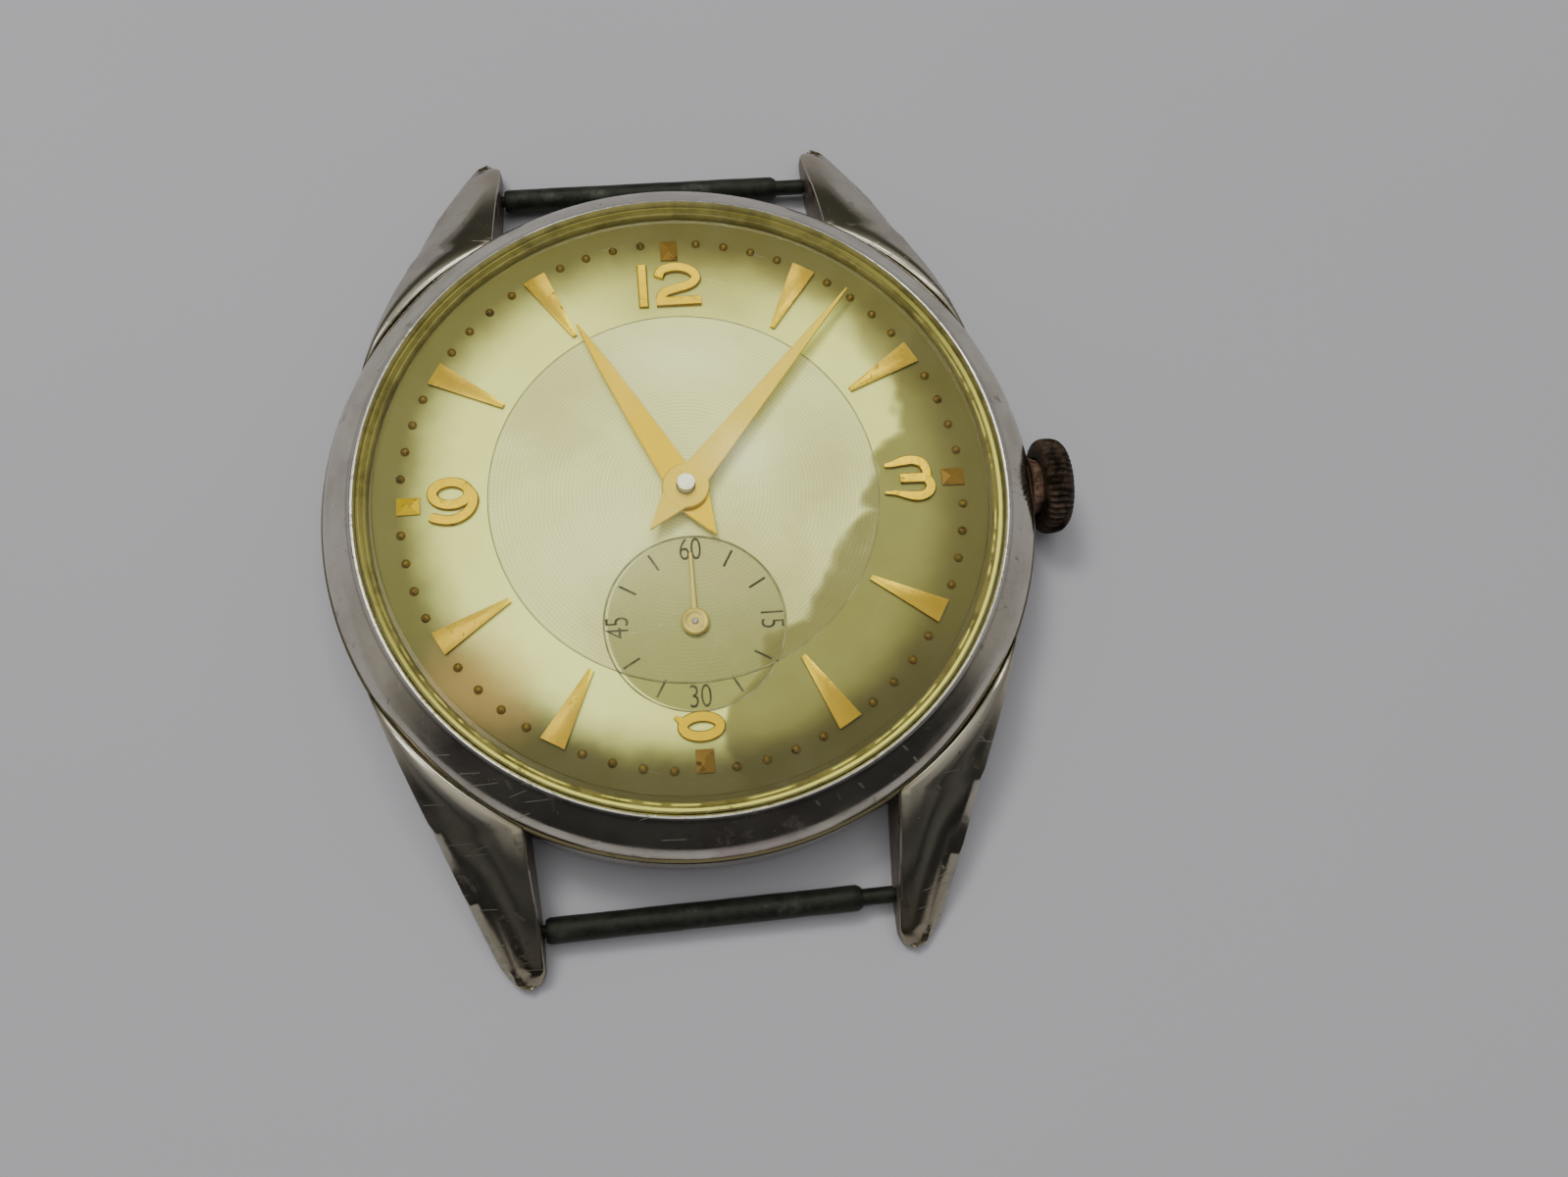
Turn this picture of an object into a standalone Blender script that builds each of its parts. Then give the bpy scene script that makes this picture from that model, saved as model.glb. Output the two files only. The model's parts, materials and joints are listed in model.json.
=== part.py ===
"""Hand-wound wristwatch with small seconds, without its strap.

Lengths are millimetres until the last step of each maker, which scales the mesh to metres. The origin is
the middle of the case back's flat underside, +Z runs to the crystal, +Y to 12 o'clock, +X to the crown.
"""

from math import acos, asin, atan2, cos, hypot, pi, radians, sin, sqrt

import bmesh
import bpy
from mathutils import Matrix

for old in list(bpy.data.objects):
    bpy.data.objects.remove(old, do_unlink=True)

MM = 0.001
WELD = 0.0001
ROUND = 32
CLEAR = 0.03

# Case
LUG_GAP, LUG_TIP_Y = 18.0, 23.9
BAR_Y, BAR_Z, BAR_R = 21.12, 1.0, 0.68
CASE_R, CASE_LOW, CASE_TOP = 18.9, 0.4, 4.47
NECK_R, NECK_TOP = 17.2, 6.05
BORE_R, DIAL_SEAT_R, DIAL_SEAT = 15.2, 16.35, 5.65
BACK_R, BACK_SEAT = 16.0, 1.0
BEZEL_R, BEZEL_EDGE, LIP_R, LIP_TOP = 18.72, 4.94, 16.78, 6.72
CRYSTAL_R, CRYSTAL_WALL, CRYSTAL_APEX = 16.72, 0.85, 9.3
STEM_Z = 2.8
CROWN_R, CROWN_IN, CROWN_OUT = 2.65, 19.55, 21.3

# Dial and hands, with the angles clockwise from 12
DIAL_TOP, DIAL_THICK, DIAL_R = 6.1, 0.4, 16.25
DIAL_TURN = 1.14
SUB_DIAL_Y, SUB_DIAL_R = 7.05, 4.55
MINUTE_ANGLE, HOUR_ANGLE, SECOND_ANGLE = 42.0, 333.0, 0.0

# Movement: levels from the case back upwards
MOVEMENT_R = 11.8
BRIDGE_LOW, BRIDGE_TOP = 1.3, 1.85
PLATE_LOW, PLATE_TOP = 3.6, 4.9
TRAIN = {"barrel": 48, "centre": 48, "third": 45, "fourth": 60, "escape": 15}
LEAVES = {"centre": 8, "third": 6, "fourth": 6, "escape": 6}
BARREL_M, CENTRE_M, THIRD_M, FOURTH_M = 0.21, 1 / 6, 0.153, 7 / 60
CANNON_LEAVES, MINUTE_TEETH, MINUTE_LEAVES, HOUR_TEETH, SETTING_TEETH = 8, 24, 6, 24, 13
MINUTE_STUD_R = 2.6
MINUTE_M = MINUTE_STUD_R * 2 / (CANNON_LEAVES + MINUTE_TEETH)
HOUR_M = MINUTE_STUD_R * 2 / (MINUTE_LEAVES + HOUR_TEETH)
BARREL_ANGLE = 60.0
CROWN_WHEEL_X = 8.2
RATCHET_TEETH, CROWN_TEETH = 30, 16
ESCAPE_R = 1.98
BALANCE_R = 4.2


def around(radius, degrees, middle=(0.0, 0.0)):
    """The point at a radius and an angle counter-clockwise from +X."""
    a = radians(degrees)
    return middle[0] + radius * cos(a), middle[1] + radius * sin(a)


def apart(p, q):
    return hypot(q[0] - p[0], q[1] - p[1])


def bearing(p, q):
    """The direction from p to q, in degrees counter-clockwise from +X."""
    return atan2(q[1] - p[1], q[0] - p[0]) * 180 / pi


# The train's axes: each wheel stands where it meshes with the next pinion
CENTRE = (0.0, 0.0)
FOURTH = around(SUB_DIAL_Y, -90 - DIAL_TURN)
CENTRE_TO_THIRD = (TRAIN["centre"] + LEAVES["third"]) / 2 * CENTRE_M
THIRD_TO_FOURTH = (TRAIN["third"] + LEAVES["fourth"]) / 2 * THIRD_M
FOURTH_TO_ESCAPE = (TRAIN["fourth"] + LEAVES["escape"]) / 2 * FOURTH_M
THIRD_COSINE = (CENTRE_TO_THIRD**2 + SUB_DIAL_Y**2 - THIRD_TO_FOURTH**2) / (2 * CENTRE_TO_THIRD * SUB_DIAL_Y)
THIRD_TURN = acos(THIRD_COSINE)
THIRD = around(CENTRE_TO_THIRD, -90 - DIAL_TURN + THIRD_TURN * 180 / pi)
ESCAPE = around(FOURTH_TO_ESCAPE, 201.0, FOURTH)
BARREL = around((TRAIN["barrel"] + LEAVES["centre"]) / 2 * BARREL_M, BARREL_ANGLE)
BALANCE = (-6.6, -2.2)
PALLET = around(ESCAPE_R / cos(pi / 6) + 0.04, bearing(ESCAPE, BALANCE), ESCAPE)
CROWN_WHEEL = (CROWN_WHEEL_X, 0.0)
WINDING_M = apart(BARREL, CROWN_WHEEL) * 2 / (RATCHET_TEETH + CROWN_TEETH)
MINUTE_STUD = around(MINUTE_STUD_R, 20.0)
SETTING_STUD = around((MINUTE_TEETH + SETTING_TEETH) / 2 * MINUTE_M, -15.0, MINUTE_STUD)
LEVER_PIVOT, YOKE_PIVOT = (9.9, -3.2), (6.4, -3.3)
CLICK = around(5.95, 165.0, BARREL)
BARREL_POSTS = [(9.8, 5.0), (-3.6, 9.2)]
TRAIN_POSTS = [(8.6, -6.3), (-2.2, -10.8)]
BALANCE_POST = (-8.3, 5.6)
PALLET_POST = around(2.75, bearing(ESCAPE, BALANCE) + 93, PALLET)
POST_R = 0.6
DIAL_FEET = [around(10.9, 75.0), around(10.9, 255.0)]


# ---------------------------------------------------------------- makers
def collection(name):
    made = bpy.data.collections.new(name)
    bpy.context.scene.collection.children.link(made)
    return made


PARTS, TOOLS = collection("wristwatch"), collection("cutters")


def finish(name, colour, roughness, metallic=1.0):
    """A plain material for one piece."""
    material = bpy.data.materials.new(name)
    material.use_nodes = True
    shader = material.node_tree.nodes["Principled BSDF"]
    shader.inputs["Base Color"].default_value = (*colour, 1.0)
    shader.inputs["Roughness"].default_value = roughness
    shader.inputs["Metallic"].default_value = metallic
    return material


CHROME = ((0.62, 0.61, 0.58), 0.15)
STEEL = ((0.55, 0.56, 0.57), 0.25)
BLUED = ((0.05, 0.07, 0.20), 0.25)
BRASS = ((0.66, 0.50, 0.24), 0.30)
GILT = ((0.72, 0.55, 0.28), 0.28)
NICKEL = ((0.60, 0.58, 0.54), 0.32)
OXIDE = ((0.20, 0.21, 0.16), 0.45)


def part(made, name, look, metallic=1.0):
    """Name a finished piece, give it its own material and move it to the watch's collection."""
    made.name = made.data.name = name
    made.data.materials.clear()
    made.data.materials.append(finish(name, *look, metallic))
    TOOLS.objects.unlink(made)
    PARTS.objects.link(made)
    made.hide_render = False
    made.display_type = "TEXTURED"
    return made


def settled(source, shift=0.0):
    """The plain mesh object that a curve or a Screw profile makes, welded, raised and scaled to metres."""
    bpy.context.scene.collection.objects.link(source)
    bpy.context.view_layer.update()
    graph = bpy.context.evaluated_depsgraph_get()
    mesh = bpy.data.meshes.new_from_object(source.evaluated_get(graph))
    bpy.data.objects.remove(source, do_unlink=True)
    work = bmesh.new()
    work.from_mesh(mesh)
    bmesh.ops.remove_doubles(work, verts=work.verts, dist=WELD)
    work.to_mesh(mesh)
    work.free()
    mesh.transform(Matrix.Scale(MM, 4) @ Matrix.Translation((0, 0, shift)))
    mesh.shade_smooth()
    mesh.set_sharp_from_angle(angle=radians(32))
    made = bpy.data.objects.new(mesh.name, mesh)
    TOOLS.objects.link(made)
    made.hide_render = True
    made.display_type = "WIRE"
    return made


def turned(profile, closed=False, steps=ROUND):
    """Turn (radius, height) points, given down the outer side, about Z. Open profiles end on the axis."""
    mesh = bpy.data.meshes.new("turned")
    edges = [(i, i + 1) for i in range(len(profile) - 1)]
    if closed:
        edges.append((len(profile) - 1, 0))
    mesh.from_pydata([(r, 0, z) for r, z in profile], edges, [])
    source = bpy.data.objects.new("turned", mesh)
    screw = source.modifiers.new("turn", "SCREW")
    screw.steps = screw.render_steps = steps
    screw.use_merge_vertices = True
    screw.merge_threshold = WELD
    return settled(source)


def plate(outlines, low, high):
    """A flat piece between two heights: the first outline is its edge and the others are holes."""
    curve = bpy.data.curves.new("plate", "CURVE")
    curve.dimensions, curve.fill_mode = "2D", "BOTH"
    curve.extrude = (high - low) / 2
    for outline in outlines:
        spline = curve.splines.new("POLY")
        spline.points.add(len(outline) - 1)
        for point, (x, y) in zip(spline.points, outline):
            point.co = (x, y, 0, 1)
        spline.use_cyclic_u = True
    return settled(bpy.data.objects.new("plate", curve), (low + high) / 2)


def wire(route, radius):
    """A round wire through points, with filled caps."""
    curve = bpy.data.curves.new("wire", "CURVE")
    curve.dimensions, curve.bevel_depth = "3D", radius
    curve.bevel_resolution, curve.use_fill_caps = 2, True
    spline = curve.splines.new("POLY")
    spline.points.add(len(route) - 1)
    for point, place in zip(spline.points, route):
        point.co = (*place, 1)
    return settled(bpy.data.objects.new("wire", curve))


def box(low, high):
    """A cuboid between two corners."""
    mesh = bpy.data.meshes.new("box")
    work = bmesh.new()
    bmesh.ops.create_cube(work, size=1.0)
    size = [b - a for a, b in zip(low, high)]
    middle = [(a + b) / 2 * MM for a, b in zip(low, high)]
    bmesh.ops.scale(work, vec=[s * MM for s in size], verts=work.verts)
    bmesh.ops.translate(work, vec=middle, verts=work.verts)
    work.to_mesh(mesh)
    work.free()
    made = bpy.data.objects.new("box", mesh)
    TOOLS.objects.link(made)
    made.hide_render = True
    made.display_type = "WIRE"
    return made


def rod(radius, low, high, steps=12):
    return turned([(0, high), (radius, high), (radius, low), (0, low)], steps=steps)


def stepped(steps_up, sides=10):
    """A turned arbor from (radius, low, high) lengths, listed from the bottom up."""
    profile = [(0, steps_up[-1][2])]
    for radius, low, high in reversed(steps_up):
        profile += [(radius, high), (radius, low)]
    return turned(profile + [(0, steps_up[0][1])], steps=sides)


def placed(made, x=0.0, y=0.0, z=0.0, turn=0.0):
    made.location = (x * MM, y * MM, z * MM)
    made.rotation_euler = (0, 0, radians(turn))
    return made


def along_x(made, x=0.0, y=0.0, z=0.0):
    """Lay a piece that was turned about Z along +X."""
    made.location = (x * MM, y * MM, z * MM)
    made.rotation_euler = (0, pi / 2, 0)
    return made


def combine(target, operation, *tools):
    """Join or cut a piece with tools that are given in its own frame and then move with it."""
    for tool in tools:
        tool.parent = target
        boolean = target.modifiers.new(operation.lower(), "BOOLEAN")
        boolean.operation, boolean.object = operation, tool
    return target


# ---------------------------------------------------------------- outlines
def circle(radius, count, middle=(0.0, 0.0), start=0.0):
    return [around(radius, start + 360 * i / count, middle) for i in range(count)]


def arc(radius, start, end, count, middle=(0.0, 0.0)):
    return [around(radius, start + (end - start) * i / (count - 1), middle) for i in range(count)]


def gear(teeth, module, start=0.0, addendum=0.95, dedendum=1.15):
    """Pointed teeth like cut brass, the first one at the start angle in degrees."""
    radius, pitch = teeth * module / 2, 360 / teeth
    points = []
    for i in range(teeth):
        a = start + i * pitch
        points += [
            around(radius - dedendum * module, a - 0.36 * pitch),
            around(radius + addendum * module, a),
            around(radius - dedendum * module, a + 0.36 * pitch),
        ]
    return points


def meshed(start, teeth, other_teeth, direction):
    """The start angle of a gear in mesh with one of a known start angle, in the direction given."""
    return direction + 180 - (start - direction) * teeth / other_teeth + 180 / other_teeth


def windows(inner, outer, arms, arm_width, start=0.0, count=4):
    """The openings between a wheel's arms."""
    made = []
    for i in range(arms):
        middle = start + (i + 0.5) * 360 / arms
        spread_in = 180 / arms - asin(arm_width / 2 / inner) * 180 / pi
        spread_out = 180 / arms - asin(arm_width / 2 / outer) * 180 / pi
        made.append(
            arc(outer, middle - spread_out, middle + spread_out, count)
            + arc(inner, middle + spread_in, middle - spread_in, 2)
        )
    return made


def spiral(inner, outer, turns, thickness, per_turn):
    """The outline of a flat spiral strip."""
    count = int(turns * per_turn) + 1
    middle = [
        (inner + (outer - inner) * i / (count - 1), 360 * turns * i / (count - 1)) for i in range(count)
    ]
    return [around(r + thickness / 2, a) for r, a in middle] + [
        around(r - thickness / 2, a) for r, a in reversed(middle)
    ]


# ---------------------------------------------------------------- case
def lug_blank():
    """The lug at the upper right, mirrored to the other three corners. It hooks down to its tip."""
    root, tip_x = 17.65, LUG_GAP / 2
    plan = [(tip_x, 21.5), (tip_x, 23.1), (9.25, 23.62), (9.8, LUG_TIP_Y), (10.45, 23.68), (10.95, 23.15)]
    plan += [(11.45, 22.2), (12.7, 18.95), (14.4, 14.7), (16.8, 8.6)]
    plan += arc(root, asin(8.6 / root) * 180 / pi, acos(9.5 / root) * 180 / pi, 5)
    blank = plate([list(reversed(plan))], 0.05, 5.2)
    crest, crest_y, fall = 5.08, 12.0, 18.6
    side = [(7.0, 1.75), (7.0, crest)]
    for i in range(9):
        y = crest_y + (24.0 - crest_y) * i / 8
        side.append((y, crest - (fall - sqrt(fall**2 - (y - crest_y) ** 2))))
    side += [(24.2, 0.5), (23.4, 0.2), (22.0, 0.12), (20.0, 0.12), (17.0, 0.4), (12.5, 0.95)]
    profile = plate([side], 8.5, 17.5)
    profile.data.transform(Matrix.Rotation(pi / 2, 4, "Z") @ Matrix.Rotation(pi / 2, 4, "X"))
    combine(blank, "INTERSECT", profile)
    combine(blank, "DIFFERENCE", rod(BEZEL_R + 0.06, CASE_TOP, 7.0, ROUND))
    flank = box((0, -14, -8), (8, 14, 8))
    flank.matrix_world = (
        Matrix.Translation((14.5 * MM, 14.7 * MM, 4.7 * MM))
        @ Matrix.Rotation(radians(39.3), 4, "Z")
        @ Matrix.Rotation(radians(-31.5), 4, "Y")
    )
    combine(blank, "DIFFERENCE", flank)
    mirror = blank.modifiers.new("four corners", "MIRROR")
    mirror.use_axis = (True, True, False)
    mirror.merge_threshold = WELD * MM
    return blank


def make_case():
    band = [(NECK_R, NECK_TOP), (NECK_R, CASE_TOP), (CASE_R - 0.12, CASE_TOP), (CASE_R, CASE_TOP - 0.12)]
    band += [(CASE_R, 1.7), (CASE_R - 0.35, 0.95), (BACK_R + 1.45, CASE_LOW), (BACK_R, CASE_LOW)]
    band += [(BACK_R, BACK_SEAT), (BORE_R, BACK_SEAT), (BORE_R, DIAL_SEAT), (DIAL_SEAT_R, DIAL_SEAT)]
    band += [(DIAL_SEAT_R, NECK_TOP)]
    case = turned(band, closed=True)
    combine(case, "UNION", lug_blank())
    for side in (1, -1):
        hole = along_x(rod(0.38, -10.25, 10.25, 10), y=side * BAR_Y, z=BAR_Z)
        combine(case, "DIFFERENCE", hole)
    combine(case, "DIFFERENCE", along_x(rod(1.12, 14.5, 20.0, 16), z=STEM_Z))
    part(case, "case_middle", CHROME)

    bevel = [(LIP_R, LIP_TOP), (LIP_R + 0.22, LIP_TOP - 0.02)]
    bevel += [(BEZEL_R - 0.75, BEZEL_EDGE + 0.78), (BEZEL_R - 0.1, BEZEL_EDGE + 0.1)]
    bevel += [(BEZEL_R, BEZEL_EDGE - 0.06), (BEZEL_R, CASE_TOP + CLEAR), (NECK_R + 0.05, CASE_TOP + CLEAR)]
    bevel += [(NECK_R + 0.05, NECK_TOP + 0.05), (LIP_R, NECK_TOP + 0.05)]
    part(turned(bevel, closed=True), "bezel", CHROME)

    def dome(apex, edge_r, edge_z, count=4):
        rise = apex - edge_z
        ball = (edge_r**2 + rise**2) / (2 * rise)
        return [
            (edge_r * i / count, apex - ball + sqrt(ball**2 - (edge_r * i / count) ** 2))
            for i in range(count + 1)
        ]

    inner_r = CRYSTAL_R - CRYSTAL_WALL
    shell = dome(CRYSTAL_APEX, CRYSTAL_R - 0.1, 7.2) + [(CRYSTAL_R, 7.05), (CRYSTAL_R, DIAL_TOP + 0.05)]
    shell += [(inner_r, DIAL_TOP + 0.05)] + list(reversed(dome(8.6, inner_r, 6.95)))
    part(turned(shell), "crystal", ((0.90, 0.90, 0.84), 0.05), metallic=0.0)

    back = [(0, 0.5), (15.0, 0.5), (15.0, 0.95), (BACK_R - 0.05, 0.95), (BACK_R - 0.05, CASE_LOW - 0.04)]
    back += [(BACK_R + 1.3, CASE_LOW - 0.04), (BACK_R + 1.3, 0.18), (BACK_R + 1.0, 0.0), (0, 0.0)]
    part(turned(back), "case_back", STEEL)

    ring = [(BORE_R - 0.1, DIAL_SEAT), (BORE_R - 0.1, 1.05), (MOVEMENT_R + 0.1, 1.05)]
    ring += [(MOVEMENT_R + 0.1, DIAL_SEAT)]
    ring = turned(ring, closed=True)
    combine(ring, "DIFFERENCE", box((11.0, -1.3, 1.0), (16.0, 1.3, 3.75)))
    part(ring, "movement_ring", BRASS)


def make_crown():
    tube = [(1.5, 20.15), (1.5, CASE_R + 0.06), (1.08, CASE_R + 0.06), (1.08, 15.35), (1.0, 15.35)]
    tube += [(1.0, 20.15)]
    part(along_x(turned(tube, closed=True, steps=16), z=STEM_Z), "case_tube", ((0.30, 0.16, 0.09), 0.5))

    crown = [(0, CROWN_OUT), (1.8, CROWN_OUT - 0.05), (2.4, CROWN_OUT - 0.25), (CROWN_R, CROWN_OUT - 0.6)]
    crown += [(CROWN_R, CROWN_IN + 0.4), (2.45, CROWN_IN + 0.1), (2.1, CROWN_IN), (1.62, CROWN_IN)]
    crown += [(1.62, 20.3), (0.95, 20.3), (0.95, 18.7), (0.5, 18.7), (0.5, 20.6), (0, 20.6)]
    part(along_x(turned(crown, steps=20), z=STEM_Z), "crown", ((0.12, 0.09, 0.07), 0.5))

    lengths = [(0.28, 5.8, 7.2), (0.25, 7.2, 9.3), (0.45, 9.3, 10.75), (0.3, 10.75, 11.1), (0.45, 11.1, 20.5)]
    stem = stepped(lengths, 12)
    combine(stem, "UNION", box((-0.28, -0.28, 7.15), (0.28, 0.28, 9.35)))
    part(along_x(stem, z=STEM_Z), "stem", STEEL)

    winding = plate([gear(16, 0.17), circle(0.48, 12)], 9.4, 10.4)
    part(along_x(winding, z=STEM_Z), "winding_pinion", STEEL)

    clutch = plate([gear(12, 0.115, addendum=0.8)], 7.3, 7.8)
    spool = [(0.7, 9.3), (0.7, 8.35), (0.5, 8.35), (0.5, 7.9), (0.7, 7.9), (0.7, 7.7)]
    spool += [(0.1, 7.7), (0.1, 9.3)]
    combine(clutch, "UNION", turned(spool, closed=True, steps=12))
    combine(clutch, "DIFFERENCE", box((-0.32, -0.32, 7.0), (0.32, 0.32, 9.6)))
    part(along_x(clutch, z=STEM_Z), "clutch_wheel", STEEL)


def make_bar(name, side):
    """One spring bar: a tube whose crimped ends hold two sprung tips."""
    y, tube_low, tube_high = side * BAR_Y, -8.85, 7.3
    tube = [(BAR_R, tube_high), (BAR_R, tube_low), (0.37, tube_low), (0.37, tube_low + 0.25)]
    tube += [(0.54, tube_low + 0.25), (0.54, tube_high - 0.3), (0.47, tube_high - 0.3), (0.47, tube_high)]
    part(along_x(turned(tube, closed=True, steps=16), y=y, z=BAR_Z), name + "_tube", OXIDE)
    left = stepped([(0.33, -9.9, -8.55), (0.51, -8.55, -7.4)], 10)
    part(along_x(left, y=y, z=BAR_Z), name + "_tip_left", OXIDE)
    right = stepped([(0.51, 5.6, 6.95), (0.44, 6.95, 8.95), (0.33, 8.95, 9.9)], 10)
    part(along_x(right, y=y, z=BAR_Z), name + "_tip_right", OXIDE)
    turns, per_turn, low, high, coil_r = 4, 6, -7.25, 5.45, 0.4
    coil = [
        (*around(coil_r, 360 * i / per_turn), low + (high - low) * i / (turns * per_turn))
        for i in range(turns * per_turn + 1)
    ]
    part(along_x(wire(coil, 0.08), y=y, z=BAR_Z), name + "_spring", STEEL)


# ---------------------------------------------------------------- dial and hands
def make_dial():
    seconds = (0.0, -SUB_DIAL_Y)
    disc = plate([circle(DIAL_R, ROUND), circle(0.8, 12), circle(0.3, 8, seconds)],
                 DIAL_TOP - DIAL_THICK, DIAL_TOP)
    combine(disc, "DIFFERENCE", placed(rod(SUB_DIAL_R, DIAL_TOP - 0.06, DIAL_TOP + 0.5, 32), *seconds))
    for hour in range(12):
        facing = 90 - 30 * hour
        if hour % 3:
            marker = [(10.9, -0.16), (14.7, -0.65), (14.7, 0.65), (10.9, 0.16)]
        else:
            marker = [(13.7, -0.52), (14.74, -0.52), (14.74, 0.52), (13.7, 0.52)]
        block = placed(plate([marker], DIAL_TOP - 0.1, DIAL_TOP + 0.28), turn=facing)
        combine(disc, "UNION", block)
    for x, y in DIAL_FEET:
        foot = around(apart((0, 0), (x, y)), bearing((0, 0), (x, y)) + DIAL_TURN)
        combine(disc, "UNION", placed(rod(0.35, 4.3, DIAL_TOP - 0.2, 8), *foot))
    part(placed(disc, turn=-DIAL_TURN), "dial", ((0.62, 0.58, 0.36), 0.4), metallic=0.6)


def hand(name, reach, tail, widest, width, low, ridge, hub_r, hole_r, axis, angle, look=GILT):
    """A faceted dauphine hand: the hull of a flat kite and the ridge above it, with a hub."""
    mesh = bpy.data.meshes.new(name)
    work = bmesh.new()
    rim = low + (ridge - low) * 0.4
    kite = [(0.06, reach), (width / 2, widest), (width * 0.18, -tail)]
    for x, y in kite:
        for side in (1, -1):
            for z in (low, rim):
                work.verts.new((side * x, y, z))
    for y in (reach * 0.98, widest, -tail * 0.98):
        work.verts.new((0, y, ridge))
    hull = bmesh.ops.convex_hull(work, input=work.verts)
    bmesh.ops.delete(work, geom=[g for g in hull["geom_interior"] if g.is_valid], context="VERTS")
    bmesh.ops.recalc_face_normals(work, faces=work.faces)
    bmesh.ops.transform(work, matrix=Matrix.Scale(MM, 4), verts=work.verts)
    work.to_mesh(mesh)
    work.free()
    blade = bpy.data.objects.new(name, mesh)
    TOOLS.objects.link(blade)
    combine(blade, "UNION", rod(hub_r, low, ridge + 0.02, 20))
    combine(blade, "DIFFERENCE", rod(hole_r, low - 1, ridge + 1, 12))
    return part(placed(blade, *axis, turn=-angle), name, look)


def make_hands():
    hand("minute_hand", 14.5, 2.8, 2.0, 1.45, 6.85, 7.06, 1.2, 0.48, CENTRE, MINUTE_ANGLE)
    hand("hour_hand", 10.9, 2.8, 2.4, 1.5, 6.52, 6.74, 1.2, 0.75, CENTRE, HOUR_ANGLE)
    hand("seconds_hand", 3.5, 1.2, 0.3, 0.24, 6.25, 6.38, 0.7, 0.17, FOURTH, SECOND_ANGLE + DIAL_TURN)


# ---------------------------------------------------------------- movement
def make_plate():
    notch = [(sqrt(MOVEMENT_R**2 - 1.75**2), -1.75), (9.2, -1.75), (9.2, 1.75),
             (sqrt(MOVEMENT_R**2 - 1.75**2), 1.75)]
    opening = asin(1.75 / MOVEMENT_R) * 180 / pi
    rim = arc(MOVEMENT_R, opening, 360 - opening, ROUND)[1:-1]
    holes = [circle(0.3, 8), circle(0.56, 12, BARREL), circle(0.14, 6, THIRD), circle(0.2, 8, FOURTH)]
    holes += [circle(0.13, 6, place) for place in (ESCAPE, PALLET, BALANCE)]
    holes += [circle(0.45, 8, place) for place in DIAL_FEET]
    main = plate([notch + rim] + holes, PLATE_LOW, PLATE_TOP)
    for stud in (MINUTE_STUD, SETTING_STUD):
        combine(main, "UNION", placed(rod(0.2, PLATE_TOP - 0.3, 5.55, 8), *stud))
    for stud in (LEVER_PIVOT, YOKE_PIVOT):
        combine(main, "UNION", placed(rod(0.3, 3.2, PLATE_LOW + 0.3, 8), *stud))
    combine(main, "UNION", box((5.7, -0.6, 2.3), (6.5, 0.6, PLATE_LOW + 0.2)))
    combine(main, "DIFFERENCE", along_x(rod(0.33, 5.0, 7.0, 10), z=STEM_Z))
    part(main, "main_plate", GILT)


def bridge(name, outline, holes, posts, look=NICKEL, low=BRIDGE_LOW, top=BRIDGE_TOP, post_r=POST_R):
    """A flat bridge on posts that reach up to the main plate, drilled for its screws."""
    body = plate([outline] + holes, low, top)
    for x, y in posts:
        combine(body, "UNION", placed(rod(post_r, top - 0.2, PLATE_LOW - CLEAR, 12), x, y))
        combine(body, "DIFFERENCE", placed(rod(0.33, low - 1, low + 1.6, 8), x, y))
    return part(body, name, look)


def make_bridges():
    edge = MOVEMENT_R - 0.2
    upper = arc(edge, -18, 128, 16) + [(-4.5, 5.0), (-4.0, 2.6), (-1.5, 1.5), (1.2, 1.25)]
    upper += [(4.4, -0.9), (5.6, -2.9)]
    barrel = bridge("barrel_bridge", upper, [circle(0.6, 12, BARREL)], BARREL_POSTS)
    boss = placed(rod(0.6, 0.97, BRIDGE_LOW + 0.2, 12), *CROWN_WHEEL)
    combine(barrel, "UNION", boss, placed(rod(0.2, 0.97, BRIDGE_LOW + 0.2, 8), *CLICK))
    combine(barrel, "DIFFERENCE", placed(rod(0.3, 0.5, 2.5, 8), *CROWN_WHEEL))
    combine(barrel, "DIFFERENCE", box((9.2, -1.75, 0.8), (12.0, 1.75, 2.2)))

    lower = arc(edge, -122, -25, 12) + [(5.3, -3.6), (4.1, -1.4), (1.1, 0.9), (-1.2, 0.9)]
    lower += [(-1.5, -3.0), (-3.0, -6.0), (-5.0, -7.4)]
    pivots = [circle(0.33, 8, CENTRE)] + [circle(0.14, 6, p) for p in (THIRD, FOURTH, ESCAPE)]
    bridge("train_bridge", lower, pivots, TRAIN_POSTS)

    tongue = arc(edge, 133, 164, 5) + [(-8.2, 1.0)]
    tongue += arc(1.4, 150, 340, 7, BALANCE) + [(-5.4, 1.0), (-5.9, 4.9)]
    cock = bridge("balance_cock", tongue, [circle(0.13, 6, BALANCE)], [BALANCE_POST], post_r=1.0)
    boss = plate([circle(0.5, 12, BALANCE), circle(0.2, 6, BALANCE)], 0.97, BRIDGE_LOW + 0.01)
    combine(cock, "UNION", boss)

    away = bearing(PALLET, PALLET_POST)
    bar = arc(0.7, away + 90, away + 270, 6, PALLET) + arc(0.7, away - 90, away + 90, 6, PALLET_POST)
    low, top = 2.6, 2.88
    small = plate([bar, circle(0.13, 6, PALLET)], low, top)
    combine(small, "UNION", placed(rod(0.55, top - 0.1, PLATE_LOW - CLEAR, 10), *PALLET_POST))
    part(small, "pallet_cock", NICKEL)


def screw(name, at, head_r, head_low, head_top, shank_r, shank_top):
    """A screw whose slotted head faces the case back."""
    body = stepped([(head_r, head_low, head_top), (shank_r, head_top, shank_top)], 14)
    combine(body, "DIFFERENCE", box((-2, -0.1, head_low - 0.1), (2, 0.1, head_low + 0.13)))
    return part(placed(body, at[0], at[1], turn=35.0), name, BLUED)


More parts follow.
